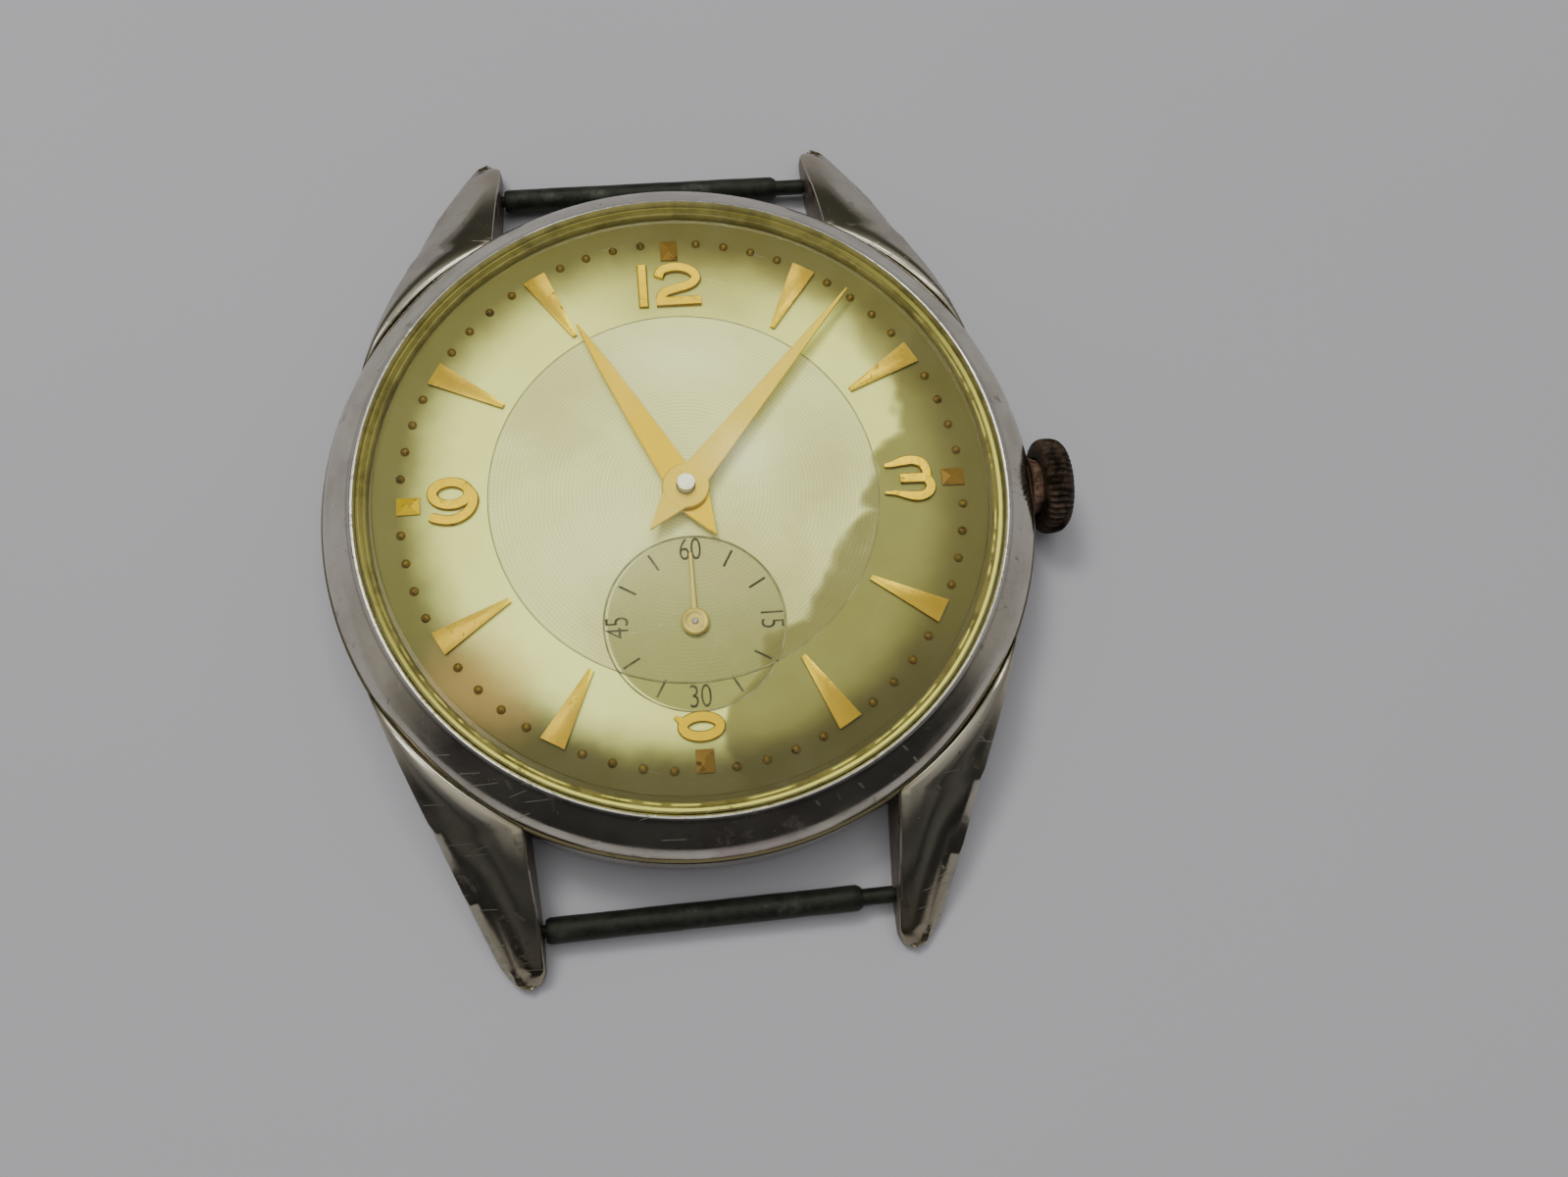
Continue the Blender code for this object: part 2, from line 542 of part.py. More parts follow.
def make_screws():
    for name, at in (("barrel_bridge_screw", BARREL_POSTS[0]), ("train_bridge_screw", TRAIN_POSTS[0])):
        screw(name, at, 0.6, 0.95, BRIDGE_LOW - CLEAR, 0.29, 2.7)
    screw("balance_cock_screw", BALANCE_POST, 0.75, 0.95, BRIDGE_LOW - CLEAR, 0.29, 2.7)
    screw("ratchet_screw", BARREL, 1.0, 0.6, 0.92, 0.27, 1.7)
    screw("crown_wheel_screw", CROWN_WHEEL, 1.1, 0.6, 0.92, 0.26, 1.8)


def wheel(name, teeth, module, low, high, seat_r, rim, at, start, arms=3, look=BRASS):
    """A train wheel with its arms, on a seat of its arbor."""
    root = teeth * module / 2 - 1.15 * module
    openings = windows(seat_r + 0.55, root - rim, arms, 0.34, start)
    body = plate([gear(teeth, module, start), circle(seat_r, 8)] + openings, low, high)
    return part(placed(body, *at), name, look)


def arbor(name, lengths, leaves, module, low, high, at, start):
    """A steel arbor with its pinion leaves."""
    body = stepped(lengths)
    outline = [gear(leaves, module, start)]
    combine(body, "UNION", plate(outline, low, high))
    return part(placed(body, *at), name, STEEL)


def make_train():
    to_centre, to_third = bearing(BARREL, CENTRE), bearing(CENTRE, THIRD)
    to_fourth, to_escape = bearing(THIRD, FOURTH), bearing(FOURTH, ESCAPE)

    drum = [(4.75, 3.15), (4.75, 2.0), (4.5, 2.0), (4.5, 3.0), (0.62, 3.0), (0.62, 3.15)]
    drum = turned(drum, closed=True, steps=24)
    toothed = plate([gear(TRAIN["barrel"], BARREL_M), circle(4.6, 24)], 2.6, 2.9)
    part(placed(combine(drum, "UNION", toothed), *BARREL), "barrel_drum", BRASS)
    cover = plate([circle(4.4, 24), circle(0.62, 10)], 2.02, 2.14)
    part(placed(cover, *BARREL), "barrel_cover", BRASS)
    core = stepped([(0.55, 1.3, 2.2), (1.2, 2.2, 2.94), (0.5, 2.94, 4.5)], 12)
    combine(core, "UNION", box((-0.38, -0.38, 0.97), (0.38, 0.38, 1.5)))
    combine(core, "DIFFERENCE", rod(0.3, 0.5, 1.85, 8))
    part(placed(core, *BARREL), "barrel_arbor", STEEL)
    mainspring = plate([spiral(1.35, 4.3, 4, 0.2, 12)], 2.22, 2.92)
    part(placed(mainspring, *BARREL), "mainspring", BLUED)

    start = meshed(0, TRAIN["barrel"], LEAVES["centre"], to_centre)
    lengths = [(0.3, 1.32, 1.95), (0.38, 1.95, 3.28), (0.26, 3.28, 3.62), (0.22, 3.62, 7.3)]
    arbor("centre_arbor", lengths, LEAVES["centre"], BARREL_M, 2.45, 3.15, CENTRE, start)
    wheel("centre_wheel", TRAIN["centre"], CENTRE_M, 3.31, 3.46, 0.28, 0.45, CENTRE, to_third)

    start = meshed(to_third, TRAIN["centre"], LEAVES["third"], to_third)
    lengths = [(0.1, 1.4, 2.05), (0.2, 2.05, 3.2), (0.3, 3.2, 3.54), (0.1, 3.54, 4.3)]
    arbor("third_arbor", lengths, LEAVES["third"], CENTRE_M, 3.22, 3.52, THIRD, start)
    wheel("third_wheel", TRAIN["third"], THIRD_M, 2.1, 2.25, 0.22, 0.4, THIRD, to_fourth)

    start = meshed(to_fourth, TRAIN["third"], LEAVES["fourth"], to_fourth)
    lengths = [(0.1, 1.4, 1.95), (0.2, 1.95, 2.75), (0.14, 2.75, 6.44)]
    arbor("fourth_arbor", lengths, LEAVES["fourth"], THIRD_M, 2.03, 2.4, FOURTH, start)
    wheel("fourth_wheel", TRAIN["fourth"], FOURTH_M, 2.55, 2.7, 0.22, 0.4, FOURTH, to_escape)

    start = meshed(to_escape, TRAIN["fourth"], LEAVES["escape"], to_escape)
    lengths = [(0.08, 1.45, 2.3), (0.15, 2.3, 3.2), (0.08, 3.2, 4.2)]
    arbor("escape_arbor", lengths, LEAVES["escape"], FOURTH_M, 2.45, 2.8, ESCAPE, start)
    club = []
    for i in range(TRAIN["escape"]):
        a = 360 * i / TRAIN["escape"]
        club += [around(1.5, a), around(ESCAPE_R - 0.06, a + 9)]
        club += [around(ESCAPE_R, a + 13), around(1.6, a + 16)]
    body = plate([club, circle(0.17, 6)] + windows(0.55, 1.25, 4, 0.25, count=3), 3.0, 3.13)
    part(placed(body, *ESCAPE), "escape_wheel", BRASS)


def make_escapement():
    """The fork points to the balance; its arms end just outside the escape wheel's tips."""
    reach = apart(PALLET, BALANCE)
    horn, slot = reach - 0.22, reach - 0.75
    right = [(0.13, slot), (0.13, horn), (0.42, horn - 0.1), (0.3, slot - 0.35), (0.16, slot - 0.7)]
    right += [(0.18, 0.6), (0.45, 0.35), (1.3, -0.2), (1.52, -0.5), (1.32, -0.62), (0.95, -0.3), (0.3, -0.15)]
    left = [(-x, y) for x, y in reversed(right)]
    blade = plate([right + left], 2.98, 3.15)
    combine(blade, "UNION", stepped([(0.08, 2.65, 2.94), (0.15, 2.94, 3.2), (0.08, 3.2, 4.2)], 8))
    part(placed(blade, *PALLET, turn=bearing(PALLET, BALANCE) - 90), "pallet_fork", STEEL)

    openings = windows(0.8, BALANCE_R - 0.45, 3, 0.5, count=7)
    rim = plate([circle(BALANCE_R, 32), circle(0.32, 8)] + openings, 2.2, 2.5)
    part(placed(rim, *BALANCE), "balance_wheel", GILT)
    lengths = [(0.08, 1.4, 1.9), (0.22, 1.9, 2.15), (0.3, 2.15, 2.6), (0.18, 2.6, 2.72), (0.7, 2.72, 2.84)]
    staff = stepped(lengths + [(0.15, 2.84, 3.5), (0.08, 3.5, 4.2)], 8)
    pin = placed(rod(0.09, 2.8, 2.95, 6), *around(0.5, bearing(BALANCE, PALLET)))
    part(placed(combine(staff, "UNION", pin), *BALANCE), "balance_staff", STEEL)
    part(placed(plate([spiral(0.32, 2.9, 4, 0.07, 12)], 1.93, 2.05), *BALANCE), "hairspring", BLUED)

    pointer = [(-0.16, 3.6), (-0.35, 0.9)] + arc(0.95, 110, 250, 5) + [(-0.12, -1.5), (0.12, -1.5)]
    pointer += arc(0.95, 290, 430, 5) + [(0.35, 0.9), (0.16, 3.6)]
    pointer = plate([list(reversed(pointer)), circle(0.55, 12)], 1.0, 1.25)
    part(placed(pointer, *BALANCE, turn=15.0), "regulator", STEEL)


def make_winding():
    to_crown_wheel = bearing(BARREL, CROWN_WHEEL)
    square = circle(0.62, 4, start=45)
    body = plate([gear(RATCHET_TEETH, WINDING_M, to_crown_wheel), square], 1.0, 1.24)
    part(placed(body, *BARREL), "ratchet_wheel", STEEL)
    start = meshed(to_crown_wheel, RATCHET_TEETH, CROWN_TEETH, to_crown_wheel)
    body = plate([gear(CROWN_TEETH, WINDING_M, start), circle(0.63, 12)], 1.0, 1.24)
    part(placed(body, *CROWN_WHEEL), "crown_wheel", STEEL)

    facing = bearing(CLICK, BARREL)
    beak = arc(0.55, 60, 290, 7) + [(0.55, -1.25), (0.88, -0.95), (0.6, -0.2)]
    body = plate([beak, circle(0.23, 8)], 1.0, 1.24)
    part(placed(body, *CLICK, turn=facing), "click", STEEL)
    strip = [(-0.75, -1.5), (-0.65, -1.5), (-0.62, 0.2), (-0.75, 1.1), (-0.45, 1.6)]
    strip += arc(0.55, 20, 200, 5, (-0.9, 1.9)) + [(-1.1, 1.3), (-0.78, 0.2)]
    body = plate([strip], 1.02, 1.22)
    part(placed(body, *CLICK, turn=facing), "click_spring", BLUED)


def make_motion_work():
    """The wheels under the dial that carry the hands, and the levers of the setting."""
    to_minute, to_setting = bearing(CENTRE, MINUTE_STUD), bearing(MINUTE_STUD, SETTING_STUD)
    cannon = turned([(0.45, 7.6), (0.45, 4.96), (0.25, 4.96), (0.25, 7.6)], closed=True, steps=12)
    leaves = plate([gear(CANNON_LEAVES, MINUTE_M, to_minute), circle(0.35, 12)], 5.0, 5.2)
    part(placed(combine(cannon, "UNION", leaves), *CENTRE), "cannon_pinion", STEEL)

    start = meshed(to_minute, CANNON_LEAVES, MINUTE_TEETH, to_minute)
    body = plate([gear(MINUTE_TEETH, MINUTE_M, start), circle(0.23, 8)], 5.0, 5.18)
    pinion = gear(MINUTE_LEAVES, HOUR_M, to_minute + 180)
    combine(body, "UNION", plate([pinion, circle(0.25, 8)], 5.1, 5.5))
    part(placed(body, *MINUTE_STUD), "minute_wheel", BRASS)
    setting = meshed(start, MINUTE_TEETH, SETTING_TEETH, to_setting)
    body = plate([gear(SETTING_TEETH, MINUTE_M, setting), circle(0.23, 8)], 5.0, 5.18)
    part(placed(body, *SETTING_STUD), "setting_wheel", STEEL)

    start = meshed(to_minute + 180, MINUTE_LEAVES, HOUR_TEETH, to_minute + 180)
    pipe = turned([(0.72, 6.72), (0.72, 5.27), (0.5, 5.27), (0.5, 6.72)], closed=True, steps=14)
    flat = plate([gear(HOUR_TEETH, HOUR_M, start), circle(0.6, 14)], 5.27, 5.45)
    part(placed(combine(pipe, "UNION", flat), *CENTRE), "hour_wheel", BRASS)

    level = (3.3, 3.5)
    groove_x, lever_w = 10.92, 0.28
    dx, dy = groove_x - LEVER_PIVOT[0], -LEVER_PIVOT[1]
    blade = arc(0.6, 150, 330, 6) + [(dx + lever_w, -0.6 + 1.3), (dx + 0.1, dy + 0.25)]
    blade += [(dx - 0.1, dy + 0.25), (dx - 0.1, 1.4)]
    lever = plate([blade, circle(0.33, 8)], *level)
    combine(lever, "UNION", placed(rod(0.1, 3.13, 3.4, 6), dx, dy))
    part(placed(lever, *LEVER_PIVOT), "setting_lever", STEEL)
    dx, dy = 8.12 - YOKE_PIVOT[0], -YOKE_PIVOT[1]
    blade = arc(0.55, 150, 350, 6) + [(dx + 0.1, dy - 0.9), (dx + 0.1, dy + 0.3), (dx - 0.1, dy + 0.3)]
    blade += [(dx - 0.1, dy - 0.8)]
    yoke = plate([blade, circle(0.33, 8)], 3.34, 3.5)
    part(placed(yoke, *YOKE_PIVOT), "yoke", STEEL)


make_case()
make_crown()
make_bar("bar_12", 1)
make_bar("bar_6", -1)
make_dial()
make_hands()
make_plate()
make_bridges()
make_screws()
make_train()
make_escapement()
make_winding()
make_motion_work()
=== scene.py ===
"""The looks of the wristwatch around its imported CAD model.

Lengths are millimetres in the helpers, whose meshes are scaled to metres; +Z runs to the crystal,
+Y to 12 o'clock and +X to the crown.
"""

import json
from math import cos, pi, radians, sin, sqrt

import bmesh
import bpy
from mathutils import Matrix, Vector


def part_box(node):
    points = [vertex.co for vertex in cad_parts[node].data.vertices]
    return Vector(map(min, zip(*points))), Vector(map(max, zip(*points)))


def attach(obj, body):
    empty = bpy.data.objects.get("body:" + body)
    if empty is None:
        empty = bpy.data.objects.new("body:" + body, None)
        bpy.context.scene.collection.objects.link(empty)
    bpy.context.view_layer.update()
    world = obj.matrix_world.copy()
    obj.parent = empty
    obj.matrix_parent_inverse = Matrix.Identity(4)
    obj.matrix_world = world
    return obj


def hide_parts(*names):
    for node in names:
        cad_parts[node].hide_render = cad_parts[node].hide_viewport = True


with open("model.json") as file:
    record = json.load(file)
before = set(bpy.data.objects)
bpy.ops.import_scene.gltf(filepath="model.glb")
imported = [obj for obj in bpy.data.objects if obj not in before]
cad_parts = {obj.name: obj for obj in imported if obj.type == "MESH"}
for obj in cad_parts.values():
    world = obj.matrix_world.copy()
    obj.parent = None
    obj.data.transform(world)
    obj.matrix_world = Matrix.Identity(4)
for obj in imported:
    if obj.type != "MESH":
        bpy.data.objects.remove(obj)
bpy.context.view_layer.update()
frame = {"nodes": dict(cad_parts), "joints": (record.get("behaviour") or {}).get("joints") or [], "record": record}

MM = 0.001
JOINTS = {joint["name"]: joint for joint in frame["joints"]}
SIDES = 192


def node_box(node):
    """A node's lowest and highest corners in millimetres."""
    low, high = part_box(node)
    return [v / MM for v in low], [v / MM for v in high]


# Driving sizes, read from the frame
DIAL_R = node_box("dial")[1][0]
BEZEL_R = node_box("bezel")[1][0]
LIP_TOP = node_box("bezel")[1][2]
BEZEL_LOW = node_box("bezel")[0][2]
CASE_LOW = node_box("case_back")[0][2]
CRYSTAL_R = node_box("crystal")[1][0]
CRYSTAL_LOW, CRYSTAL_APEX = node_box("crystal")[0][2], node_box("crystal")[1][2]
CROWN_OUT, CROWN_R = node_box("crown")[1][0], node_box("crown")[1][1]
STEM_Z = (node_box("crown")[0][2] + node_box("crown")[1][2]) / 2
BAR_Y = (node_box("bar_12_tube")[0][1] + node_box("bar_12_tube")[1][1]) / 2
BAR_Z = (node_box("bar_12_tube")[0][2] + node_box("bar_12_tube")[1][2]) / 2
BAR_R = (node_box("bar_12_tube")[1][2] - node_box("bar_12_tube")[0][2]) / 2
SUB_DIAL = [v / MM for v in JOINTS["seconds_hand_turn"]["pos_m"][:2]]

# Measured on the watch
LIP_R, CASE_R = 16.78, 18.9
DIAL_TOP = 6.1
DIAL_TURN = -1.14
MINUTE_ANGLE, HOUR_ANGLE = 42.0, 333.0
DISC_R, DOT_R, SUB_R, SUB_Y = 10.15, 14.6, 4.55, -7.05

PALE_STRENGTH = 0.49

# What polished metal mirrors, by the sine of the elevation
BACK_WALL = [(0.0, (0.30, 0.29, 0.29)), (0.10, (0.26, 0.25, 0.24)), (0.20, (0.07, 0.07, 0.06)),
             (0.55, (0.08, 0.08, 0.06)), (0.74, (0.50, 0.48, 0.41)), (1.0, (0.45, 0.45, 0.42))]
FRONT_WALL = [(0.0, (0.02, 0.02, 0.02)), (0.24, (0.035, 0.035, 0.035)), (0.36, (0.12, 0.12, 0.12)),
              (0.52, (0.09, 0.09, 0.09)), (0.62, (0.03, 0.03, 0.03)), (0.72, (0.10, 0.10, 0.10)),
              (0.86, (0.045, 0.045, 0.045)), (0.93, (0.40, 0.39, 0.37))]
CEILING = [(0.0, (0.58, 0.55, 0.47)), (1.0, (0.62, 0.59, 0.50))]
SIDE_WALLS = [(0.0, (0.42, 0.40, 0.38)), (0.25, (0.30, 0.29, 0.27)), (0.6, (0.22, 0.20, 0.19)),
              (1.0, (0.30, 0.30, 0.30))]

# The lugs in plan and underneath, by the distance from the crown's line
LUG_OUTER = [(8.0, 17.04), (8.6, 16.8), (14.7, 14.4), (18.95, 12.7), (22.2, 11.45), (23.15, 10.95),
             (23.68, 10.45), (23.9, 9.82)]
LUG_INNER = [(8.0, 9.94), (21.5, 9.02), (23.1, 9.02), (23.62, 9.25), (23.9, 9.78)]
LUG_UNDER = [(7.0, 1.75), (12.5, 0.97), (17.0, 0.42), (20.0, 0.15), (22.0, 0.15), (23.4, 0.24), (24.2, 0.5)]


# ---------------------------------------------------------------- node trees
class Nodes:
    """A node tree under construction."""

    def __init__(self, tree):
        self.tree = tree

    def add(self, kind, **settings):
        node = self.tree.nodes.new(kind)
        for name, value in settings.items():
            setattr(node, name, value)
        return node

    def feed(self, socket, value):
        if isinstance(value, bpy.types.NodeSocket):
            self.tree.links.new(value, socket)
        elif isinstance(value, (tuple, list)) and len(value) == 3 and socket.type == "RGBA":
            socket.default_value = (*value, 1.0)
        else:
            socket.default_value = value

    def vector(self, operation, a, b=None, scale=None):
        node = self.add("ShaderNodeVectorMath", operation=operation)
        self.feed(node.inputs[0], a)
        if b is not None:
            self.feed(node.inputs[1], b)
        if scale is not None:
            self.feed(node.inputs["Scale"], scale)
        return node.outputs["Value" if operation in ("LENGTH", "DISTANCE", "DOT_PRODUCT") else "Vector"]

    def math(self, operation, a, b=None, clamp=False):
        node = self.add("ShaderNodeMath", operation=operation, use_clamp=clamp)
        self.feed(node.inputs[0], a)
        if b is not None:
            self.feed(node.inputs[1], b)
        return node.outputs[0]

    def times(self, a, b):
        return self.math("MULTIPLY", a, b)

    def plus(self, a, b, clamp=False):
        return self.math("ADD", a, b, clamp)

    def span(self, value, low, high, start=0.0, end=1.0):
        node = self.add("ShaderNodeMapRange", interpolation_type="SMOOTHSTEP")
        self.feed(node.inputs["Value"], value)
        for name, number in (("From Min", low), ("From Max", high), ("To Min", start), ("To Max", end)):
            self.feed(node.inputs[name], number)
        return node.outputs[0]

    def blend(self, factor, a, b):
        node = self.add("ShaderNodeMix", data_type="RGBA")
        self.feed(node.inputs["Factor"], factor)
        self.feed(node.inputs[6], a)
        self.feed(node.inputs[7], b)
        return node.outputs[2]

    def join(self, x, y, z):
        node = self.add("ShaderNodeCombineXYZ")
        for socket, value in zip(node.inputs, (x, y, z)):
            self.feed(socket, value)
        return node.outputs[0]

    def ramp(self, factor, stops):
        """A colour read off a line of (place, colour) stops."""
        node = self.add("ShaderNodeValToRGB")
        self.feed(node.inputs[0], factor)
        while len(node.color_ramp.elements) < len(stops):
            node.color_ramp.elements.new(1.0)
        for element, (place, colour) in zip(node.color_ramp.elements, stops):
            element.position, element.color = place, (*colour, 1)
        return node.outputs[0]


class Look(Nodes):
    """A material under construction. Its textures run in millimetres on the piece."""

    def __init__(self, name):
        self.material = bpy.data.materials.new(name)
        self.material.use_nodes = True
        super().__init__(self.material.node_tree)
        self.shader = self.tree.nodes["Principled BSDF"]
        coords = self.add("ShaderNodeTexCoord")
        self.mm = self.vector("SCALE", coords.outputs["Object"], scale=1 / MM)

    def set(self, **values):
        """Set the shader's inputs by name, and give back the material."""
        for name, value in values.items():
            self.feed(self.shader.inputs[name.replace("_", " ")], value)
        return self.material

    def finished_with(self, shader):
        """Use another shader in place of the usual one."""
        self.tree.nodes.remove(self.shader)
        out = next(node for node in self.tree.nodes if node.type == "OUTPUT_MATERIAL")
        self.feed(out.inputs["Surface"], shader.outputs[0])
        return self.material

    def noise(self, scale, detail=3.0, rough=0.55, at=None, distortion=0.0, output="Fac"):
        node = self.add("ShaderNodeTexNoise")
        self.feed(node.inputs["Vector"], at or self.mm)
        self.feed(node.inputs["Scale"], scale)
        self.feed(node.inputs["Detail"], detail)
        self.feed(node.inputs["Roughness"], rough)
        self.feed(node.inputs["Distortion"], distortion)
        return node.outputs[output]

    def cells(self, scale, at=None):
        node = self.add("ShaderNodeTexVoronoi")
        self.feed(node.inputs["Vector"], at or self.mm)
        self.feed(node.inputs["Scale"], scale)
        return node.outputs["Distance"]

    def split(self, vector=None):
        node = self.add("ShaderNodeSeparateXYZ")
        self.feed(node.inputs[0], vector or self.mm)
        return node.outputs

    def tint(self, colour, mask, share, tone):
        """Lay a tone over a colour where the mask says, at a share of its strength."""
        return self.blend(self.times(mask, share), colour, tone)

    def stretched(self, turn, factors, offset=(0.0, 0.0, 0.0)):
        """Millimetre coordinates turned about Z and squeezed, for grain and scratches."""
        node = self.add("ShaderNodeMapping")
        self.feed(node.inputs["Vector"], self.mm)
        node.inputs["Rotation"].default_value = (0, 0, radians(turn))
        node.inputs["Scale"].default_value = factors
        node.inputs["Location"].default_value = offset
        return node.outputs[0]

    def scratches(self, turn, spacing, length, density, width=0.06, seed=0.0):
        """Straight hairlines: one in some of the cells of a grid laid along them."""
        axis = self.split(self.stretched(turn, (1 / length, 1 / spacing, 1.0), (seed, seed * 1.7, 0.0)))
        bend = self.times(self.math("SUBTRACT", self.noise(0.12, 1.0), 0.5), 0.8 / spacing)
        across = self.plus(axis[1], bend)
        row = self.math("FLOOR", across)
        shift = self.add("ShaderNodeTexWhiteNoise", noise_dimensions="1D")
        self.feed(shift.inputs["W"], row)
        along = self.plus(axis[0], self.times(shift.outputs["Value"], 9.0))
        pick = self.add("ShaderNodeTexWhiteNoise", noise_dimensions="2D")
        self.feed(pick.inputs["Vector"], self.join(row, self.math("FLOOR", along), 0.0))
        chosen = self.math("LESS_THAN", pick.outputs["Value"], density)
        off = self.math("ABSOLUTE", self.math("SUBTRACT", self.math("FRACT", across), 0.5))
        end = self.math("ABSOLUTE", self.math("SUBTRACT", self.math("FRACT", along), 0.5))
        line = self.times(self.span(off, width * 0.4, width, 1.0, 0.0), self.span(end, 0.3, 0.5, 1.0, 0.0))
        return self.times(line, chosen)

    def scuffs(self, spacing, length, density, seed, turns):
        """Hairlines in several directions at once."""
        marks = self.scratches(turns[0], spacing, length, density, seed=seed)
        for count, turn in enumerate(turns[1:], 1):
            more = self.scratches(turn, spacing, length, density, seed=seed + count * 5.3)
            marks = self.math("MAXIMUM", marks, more)
        return marks

    def bump(self, height, strength, depth, normal=None):
        node = self.add("ShaderNodeBump")
        self.feed(node.inputs["Height"], height)
        node.inputs["Strength"].default_value = strength
        node.inputs["Distance"].default_value = depth * MM
        if normal is not None:
            self.feed(node.inputs["Normal"], normal)
        return node.outputs[0]


# ---------------------------------------------------------------- stage, camera and light
def make_camera():
    """A hand-held view from a little in front of 6 o'clock, close enough for strong perspective."""
    data = bpy.data.cameras.new("camera")
    data.sensor_width, data.lens = 36.0, 30.65
    data.clip_start = 0.001
    camera = bpy.data.objects.new("camera", data)
    right = Vector((0.99124, -0.10816, 0.07587))
    up = Vector((0.08179, 0.95334, 0.29063))
    back = right.cross(up)
    turn = Matrix((right, up, back)).transposed().to_4x4()
    camera.matrix_world = Matrix.Translation(Vector((-2.550, -24.918, 65.150 + DIAL_TOP)) * MM) @ turn
    bpy.context.scene.collection.objects.link(camera)
    bpy.context.scene.camera = camera


def make_light(name, direction, distance, size, watts, mirrored=True):
    """A soft box that faces the watch. A fill isn't mirrored by polished surfaces."""
    data = bpy.data.lights.new(name, "AREA")
    data.shape, data.energy = "RECTANGLE", watts
    data.size, data.size_y = size
    lamp = bpy.data.objects.new(name, data)
    towards = Vector(direction).normalized()
    lamp.location = towards * distance
    lamp.rotation_euler = towards.to_track_quat("Z", "Y").to_euler()
    lamp.visible_glossy = mirrored
    bpy.context.scene.collection.objects.link(lamp)


def make_world():
    """Plain pale surroundings. Polished surfaces mirror a plain grey studio instead: a light screen
    behind 12 o'clock, greyer ones at the sides and a dark one in front of 6 o'clock."""
    world = bpy.data.worlds.new("studio")
    bpy.context.scene.world = world
    world.use_nodes = True
    world.node_tree.nodes.clear()
    sky = Nodes(world.node_tree)
    split = sky.add("ShaderNodeSeparateXYZ")
    sky.feed(split.inputs[0], sky.add("ShaderNodeTexCoord").outputs["Generated"])
    depth, height = split.outputs["Y"], split.outputs["Z"]
    colour = sky.blend(sky.span(depth, 0.05, 0.45), sky.ramp(height, SIDE_WALLS), sky.ramp(height, BACK_WALL))
    colour = sky.blend(sky.span(depth, -0.15, -0.5), colour, sky.ramp(height, FRONT_WALL))
    colour = sky.blend(sky.span(height, 0.94, 0.98), colour, sky.ramp(height, CEILING))
    seen, plain = sky.add("ShaderNodeBackground"), sky.add("ShaderNodeBackground")
    sky.feed(seen.inputs["Color"], colour)
    sky.feed(plain.inputs["Color"], (1.0, 0.99, 1.02))
    sky.feed(plain.inputs["Strength"], PALE_STRENGTH)
    mix = sky.add("ShaderNodeMixShader")
    sky.feed(mix.inputs[0], sky.add("ShaderNodeLightPath").outputs["Is Glossy Ray"])
    sky.feed(mix.inputs[1], plain.outputs[0])
    sky.feed(mix.inputs[2], seen.outputs[0])
    sky.feed(sky.add("ShaderNodeOutputWorld").inputs["Surface"], mix.outputs[0])


# ---------------------------------------------------------------- materials
def floor_look():
    look = Look("floor")
    tone = look.blend(look.noise(0.02, 2.0), (0.212, 0.210, 0.217), (0.232, 0.229, 0.237))
    return look.set(Base_Color=tone, Roughness=0.9)


